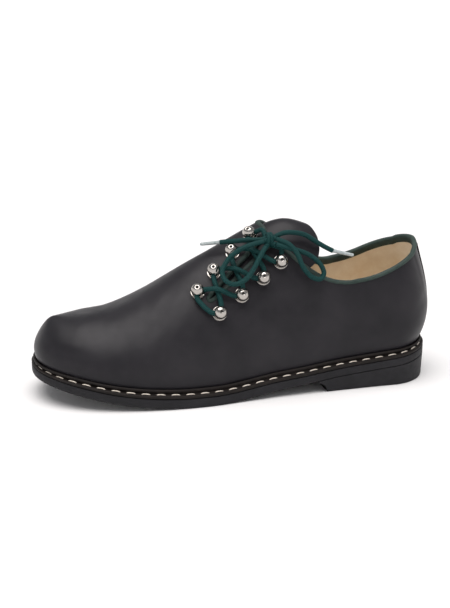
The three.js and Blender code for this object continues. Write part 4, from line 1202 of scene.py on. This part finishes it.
def heel():
    """Heel block: the sole's outline up to the heel's front, tapered down to the ground.

    The rings reach less far forward the lower they lie, most between the top and the middle,
    so that the front is hollowed and slanted back.
    """
    count = FINENESS["heel"]
    share, inner = ring_stops(count)
    top = share * BREAST["top"]
    middle = inset(share * BREAST["middle"], inner, np.full(share.shape, HEEL_TAPER / 2))
    rings = [
        sole_ring(top, inner, 0.0003, -CLEARANCE, sole_bottom),
        sole_ring(top, inner, 0.0, -CLEARANCE - 0.0003, sole_bottom),
        np.concatenate([middle, sole_bottom(middle[:, :1]) / 2], -1),
    ]
    for inward, height in ((0, 0.001), (0.0002, 0.0004), (0.001, 0)):
        plan = inset(share * BREAST["bottom"], inner, np.full(share.shape, HEEL_TAPER + inward))
        rings.append(np.concatenate([plan, np.full((len(plan), 1), height)], -1))
    piece = plate("heel_block", rings, count, RUBBER)
    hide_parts("heel")


heel()


def wall_point(around, inner, height, outwards):
    """Point of the upper's outer face at a height above its foot, moved outwards in plan.

    The up that gives the height is found by scaling it six times by wanted over reached height.
    """
    base = last_point(around, np.where(inner, 2.0, 0.0))[:, 2]
    up = height / INSTEP_HEIGHT * np.ones(len(around))
    for _ in range(6):
        there = last_point(around, np.where(inner, 2 - up, up))[:, 2]
        up = up * height / (there - base)
    point = last_point(around, np.where(inner, 2 - up, up))
    point[:, :2] += outline_normal(around, inner) * outwards
    return point


def toe_drop(x):
    """How far the welt's edge turns down at the toe: share squared times (3 - 2 share)."""
    share = np.clip((station_of(x) - TOE_TURN["from"]) / (1 - TOE_TURN["from"]), 0, 1)
    return TOE_TURN["drop"] * share**2 * (3 - 2 * share)


def welt():
    """Welt: a rolled rib against the upper, a channel that slopes outwards, and a soft edge.

    One profile carried round the outline. The rib is an ellipse, cos outwards and sin upwards,
    set off from the upper's outer face. The channel and the edge lie over the sole's top and
    turn down at the toe, each ring by its own share.
    """
    around, inner = ring_stops(FINENESS["welt"])
    half_rise = RIB_WIDTH * RIB_RISE
    middle_height = WELT_THICKNESS + RIB_HEIGHT - half_rise
    rings = [
        sole_ring(around, inner, WELT_REACH - CLEARANCE, CLEARANCE, sole_top),
        wall_point(around, inner, 0.0012, CLEARANCE),
    ]
    for turn in RIB_CURVE:
        height = middle_height + half_rise * np.sin(turn)
        outwards = CLEARANCE + RIB_WIDTH / 2 + RIB_WIDTH / 2 * np.cos(turn)
        rings.append(wall_point(around, inner, height, outwards))
    rib_foot = WELT_REACH - RIB_WIDTH
    channel = (
        (rib_foot - 0.0009, 0.0004, 0.1),
        (rib_foot - 0.0016, 0.0007, 0.3),
        (0.0011, 0.0008, 0.9),
        (0.0006, 0.0009, 1.0),
        (0.0001, 0.0013, 0.8),
        (0.0, 0.0018, 0.4),
    )
    for inward, sunk, share in channel:
        ring = sole_ring(around, inner, inward, CLEARANCE + WELT_THICKNESS - sunk, sole_top)
        ring[:, 2] -= share * toe_drop(ring[:, 0])
        rings.append(ring)
    rings.append(sole_ring(around, inner, 0.0, CLEARANCE + 0.0006, sole_top))
    rings.append(sole_ring(around, inner, 0.0004, CLEARANCE, sole_top))
    points = np.stack(rings, 1)
    faces = tube_faces(len(points), points.shape[1], loop=True)
    piece = mesh_piece("welt_rib", points.reshape(-1, 3), faces, WELT, 50)
    turn_outwards(piece)
    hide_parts("welt")


welt()


def welt_stitches():
    """Saddle stitches in the welt's channel: short arcs of thread whose ends dip in.

    Along a stitch t goes from -1 to 1. Its middle line dips by the cube of t, and its half
    width is the square root of 1 - 0.86 times t to the fourth.
    """
    stops, sides = FINENESS["stitch"]
    around, inner = ring_stops(FINENESS["stitch_line"])
    height = CLEARANCE + WELT_THICKNESS - STITCH_SUNK["all_round"]
    line = sole_ring(around, inner, STITCH_INSET, height, sole_top)
    line[:, 2] -= STITCH_SUNK["toe_share"] * toe_drop(line[:, 0])
    line = np.r_[line, line[:1]]
    run = np.r_[0, np.cumsum(np.linalg.norm(np.diff(line, axis=0), axis=1))]
    count = round(run[-1] / STITCH_PITCH)
    t = np.linspace(-1, 1, stops)
    at = ((np.arange(count) + 0.5) * run[-1] / count)[:, None] + t * STITCH_LENGTH / 2
    where = [np.interp(at % run[-1], run, line[:, k]) for k in range(3)]
    ahead = [np.interp((at + 0.0002) % run[-1], run, line[:, k]) for k in range(3)]
    centre = np.stack(where, -1)
    way = unit(np.stack(ahead, -1) - centre)
    side = unit(np.cross(way, [0, 0, 1.0]))
    rise = np.cross(side, way)
    half = STITCH_WIDTH / 2 * np.sqrt(np.maximum(1 - 0.86 * t**4, 0.1))
    dip = STITCH_SUNK["middle"] + STITCH_SUNK["ends"] * np.abs(t) ** 3
    centre = centre - rise * dip[:, None]
    angle = np.linspace(0, 2 * np.pi, sides, endpoint=False)[:, None]
    flat_rise = rise[:, :, None] * STITCH_FLATNESS
    ring = side[:, :, None] * np.cos(angle) + flat_rise * np.sin(angle)
    points = centre[:, :, None] + ring * half[:, None, None]
    first = stops * sides * np.arange(count)[:, None]
    tubes = first[:, :, None] + tube_faces(stops, sides, loop=False)
    caps = np.stack([first + np.arange(sides), first + stops * sides - 1 - np.arange(sides)], 1)
    faces = [*tubes.reshape(-1, 4).tolist(), *caps.reshape(-1, sides).tolist()]
    piece = mesh_piece("welt_stitches", points.reshape(-1, 3), faces, THREAD, 60)
    turn_outwards(piece)


welt_stitches()


def insole():
    """Insole: a thin plate with a rounded rim, the outline moved inwards past the lining."""
    count = FINENESS["insole"]
    around, inner = ring_stops(count)
    inward = WELT_REACH + WALL + 2 * CLEARANCE
    rings = [
        sole_ring(around, inner, inward + 0.0012, CLEARANCE + INSOLE_THICKNESS, sole_top),
        sole_ring(around, inner, inward + 0.0002, CLEARANCE + INSOLE_THICKNESS - 0.0006, sole_top),
        sole_ring(around, inner, inward, CLEARANCE, sole_top),
    ]
    piece = plate("insole_cover", rings, count, LINING)
    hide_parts("insole")


insole()


# Eyelets.
def eyelet_shape():
    """One ball eyelet on its flange: a profile of radius and height, turned round its axis."""
    stops, sides = FINENESS["ball"]
    radius = BALL_DIAMETER / 2 + BALL_FULLNESS
    flange = FLANGE_DIAMETER / 2
    angle = np.linspace(np.pi - np.arcsin(NECK_SHARE), CROWN_ANGLE, stops)
    crown_height = BALL_MIDDLE + radius * np.cos(CROWN_ANGLE)
    crown_radius = radius * np.sin(CROWN_ANGLE)
    profile = np.array([
        (0, 0),
        (flange, 0),
        (flange, 0.0004),
        (flange - 0.0002, FLANGE_THICKNESS - 0.0001),
        (flange - 0.0005, FLANGE_THICKNESS),
        (radius * 0.86, FLANGE_THICKNESS),
        *zip(radius * np.sin(angle), BALL_MIDDLE + radius * np.cos(angle)),
        (crown_radius * 0.9, crown_height + 0.00002),
        (CROWN_RECESS, crown_height - 0.0001),
        (CROWN_RECESS, crown_height - 0.0002),
        (CROWN_RECESS * 0.97, crown_height - 0.0008),
        (CROWN_RECESS * 0.5, crown_height - 0.0011),
        (0, crown_height - 0.0012),
    ])
    turn = np.linspace(0, 2 * np.pi, sides, endpoint=False)
    rings = np.stack([
        profile[1:-1, :1] * np.cos(turn),
        profile[1:-1, :1] * np.sin(turn),
        np.broadcast_to(profile[1:-1, 1:], (len(profile) - 2, sides)),
    ], -1)
    points = np.r_[rings.reshape(-1, 3), [[0, 0, profile[0, 1]], [0, 0, profile[-1, 1]]]]
    last = (len(rings) - 1) * sides
    around = np.arange(sides)
    after = (around + 1) % sides
    foot = np.stack([np.full(sides, len(points) - 2), around, after], -1)
    crown = np.stack([np.full(sides, len(points) - 1), last + after, last + around], -1)
    caps = np.stack([foot, crown], 1).reshape(-1, 3)
    return points, [*tube_faces(len(rings), sides, loop=False).tolist(), *caps.tolist()]


def bored(points, faces, side):
    """Cuts the lace's bent hole, two round bores that meet on the axis, and gives what is left.

    Both mouths are turned by the same angle to one side of the slit's direction.
    """
    mesh = bpy.data.meshes.new("eyelet_turned")
    mesh.from_pydata(points.tolist(), [], faces)
    body = bpy.data.objects.new("eyelet_turned", mesh)
    bpy.context.collection.objects.link(body)
    turn_outwards(body)
    cutters = []
    for turn in (side * BORE_TURN, np.pi - side * BORE_TURN):
        build = bmesh.new()
        placed_at = (
            Matrix.Translation((0, 0, LACE_LIFT - CLEARANCE))
            @ Matrix.Rotation(turn, 4, "Z")
            @ Matrix.Translation(((FLANGE_DIAMETER - EYELET_BORE / 2) / 2, 0, 0))
            @ Matrix.Rotation(np.pi / 2, 4, "Y")
        )
        bmesh.ops.create_cone(
            build, cap_ends=True, segments=FINENESS["bore"], radius1=EYELET_BORE / 2,
            radius2=EYELET_BORE / 2, depth=FLANGE_DIAMETER, matrix=placed_at,
        )
        cutter_mesh = bpy.data.meshes.new("eyelet_bore")
        build.to_mesh(cutter_mesh)
        build.free()
        cutter = bpy.data.objects.new("eyelet_bore", cutter_mesh)
        bpy.context.collection.objects.link(cutter)
        cut = body.modifiers.new("bore", "BOOLEAN")
        cut.object = cutter
        cut.solver = "EXACT"
        cutters.append(cutter)
    graph = bpy.context.evaluated_depsgraph_get()
    made = bpy.data.meshes.new_from_object(body.evaluated_get(graph))
    corners = np.array([v.co[:] for v in made.vertices])
    sides = [list(face.vertices) for face in made.polygons]
    for spent in (body, *cutters):
        bpy.data.objects.remove(spent)
    return corners, sides


def eyelets():
    """Eight eyelets, seated square to the leather with their bores along the slit."""
    shapes = {side: bored(*eyelet_shape(), side) for side in (-1, 1)}
    along = np.array(EYELET_ROWS["along"])
    flap, quarter = (np.array(EYELET_ROWS[row]) for row in ("flap", "quarter"))
    rows = [*zip(along[::-1], flap[::-1]), *zip(along, -quarter)]
    for number, (run, across) in enumerate(rows, start=1):
        corners, sides = shapes[-1 if across > 0 else 1]
        place = slit_place(run, across)
        frame_here = np.stack(slit_frame(place), 0)
        seat = skin_point(place[0], place[1], CLEARANCE)
        points = corners @ frame_here + seat
        piece = mesh_piece(f"ball_eyelet_{number}", points, sides, NICKEL, 30)
        # Faces deep in the crown's recess take the dark material: painted shade.
        piece.data.materials.append(RECESS_SHADE)
        middles = np.array([corners[side].mean(0) for side in sides])
        in_recess = np.hypot(middles[:, 0], middles[:, 1]) < CROWN_RECESS
        shaded_deep = in_recess & (middles[:, 2] > BALL_MIDDLE + RECESS_SHADE_LOWEST)
        piece.data.polygons.foreach_set("material_index", shaded_deep.astype(np.int32))
        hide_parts(f"eyelet_{number}")


eyelets()


# The lace between the eyelets.
def lace_run():
    """One lace from the knot down through both rows to the bar, and up again to the knot.

    It crosses itself over the slit three times, over and under in turn. Its curve is smooth
    through three points of each bore and one point at each crossing.
    """
    mouth = BALL_DIAMETER / 2 + LACE_DIAMETER / 4
    along = EYELET_ROWS["along"]
    over, under = (LACE_LIFT + CROSSING_LIFT[way] for way in ("over", "under"))

    def through(index, side):
        """Points of the lace in one bore: its two mouths and its eased bend."""
        across = EYELET_ROWS["flap"][index] if side > 0 else -EYELET_ROWS["quarter"][index]
        return [
            slit_point(
                along[index] + t * mouth * np.cos(BORE_TURN),
                across - side * (mouth * np.sin(BORE_TURN) if t else BEND_EASE),
                LACE_LIFT,
            )
            for t in (-1, 0, 1)
        ]

    def strand(side, lifts, end):
        """Points of one strand, from the front eyelet that it starts in up to the knot."""
        points = []
        for index in range(4):
            points += through(index, side if index % 2 == 0 else -side)
            if index < 3:
                points.append(slit_point((along[index] + along[index + 1]) / 2, 0, lifts[index]))
        beyond, across = (STRAND_ENDS[key][end] for key in ("beyond", "across"))
        leaving = slit_point(along[3] + beyond, across, LACE_LIFT + STRAND_END_LIFT)
        return [*points, leaving, KNOT + KNOT_ENTRIES[end]]

    first = strand(1, (over, under, over), 0)
    second = strand(-1, (under, over, under), 1)
    bar = slit_point(along[0] - BAR_AHEAD, 0, LACE_LIFT)
    curve = catmull_rom([*first[::-1], bar, *second], FINENESS["lace"])
    piece = cord_piece("lace_strands", [(curve, LACE_DIAMETER / 2)])
    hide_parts("lace_crossings")


lace_run()


# Floor and light.
def add_floor():
    """White studio floor, flat round the shoe and rising far away on all four sides."""
    made, _, _ = material("floor_white", [FLOOR["tone"]] * 3, 0.9)
    corners = ((-1, -1), (1, -1), (1, 1), (-1, 1))
    near = [(FLOOR["near"] * x, FLOOR["near"] * y, 0) for x, y in corners]
    far = [(FLOOR["far"] * x, FLOOR["far"] * y, FLOOR["rise"]) for x, y in corners]
    rims = [(k, (k + 1) % 4, (k + 1) % 4 + 4, k + 4) for k in range(4)]
    floor = bpy.data.meshes.new("floor")
    floor.from_pydata(near + far, [], [(0, 1, 2, 3), *[rim[::-1] for rim in rims]])
    floor.materials.append(made)
    piece = bpy.data.objects.new("floor", floor)
    bpy.context.collection.objects.link(piece)


def add_lights():
    """An even sky and a broad soft sun from above."""
    world = bpy.data.worlds.new("studio")
    world.use_nodes = True
    sky = world.node_tree.nodes["Background"]
    sky.inputs["Color"].default_value = (*SKY["colour"], 1)
    sky.inputs["Strength"].default_value = SKY["strength"]
    bpy.context.scene.world = world
    data = bpy.data.lights.new("broad_sun", "SUN")
    data.color = SUN["colour"]
    data.energy = SUN["energy"]
    data.angle = np.radians(SUN["angle"])
    sun = bpy.data.objects.new("broad_sun", data)
    sun.rotation_euler = SUN["turn"]
    bpy.context.collection.objects.link(sun)


add_floor()
add_lights()
bpy.context.scene.view_settings.view_transform = "Standard"
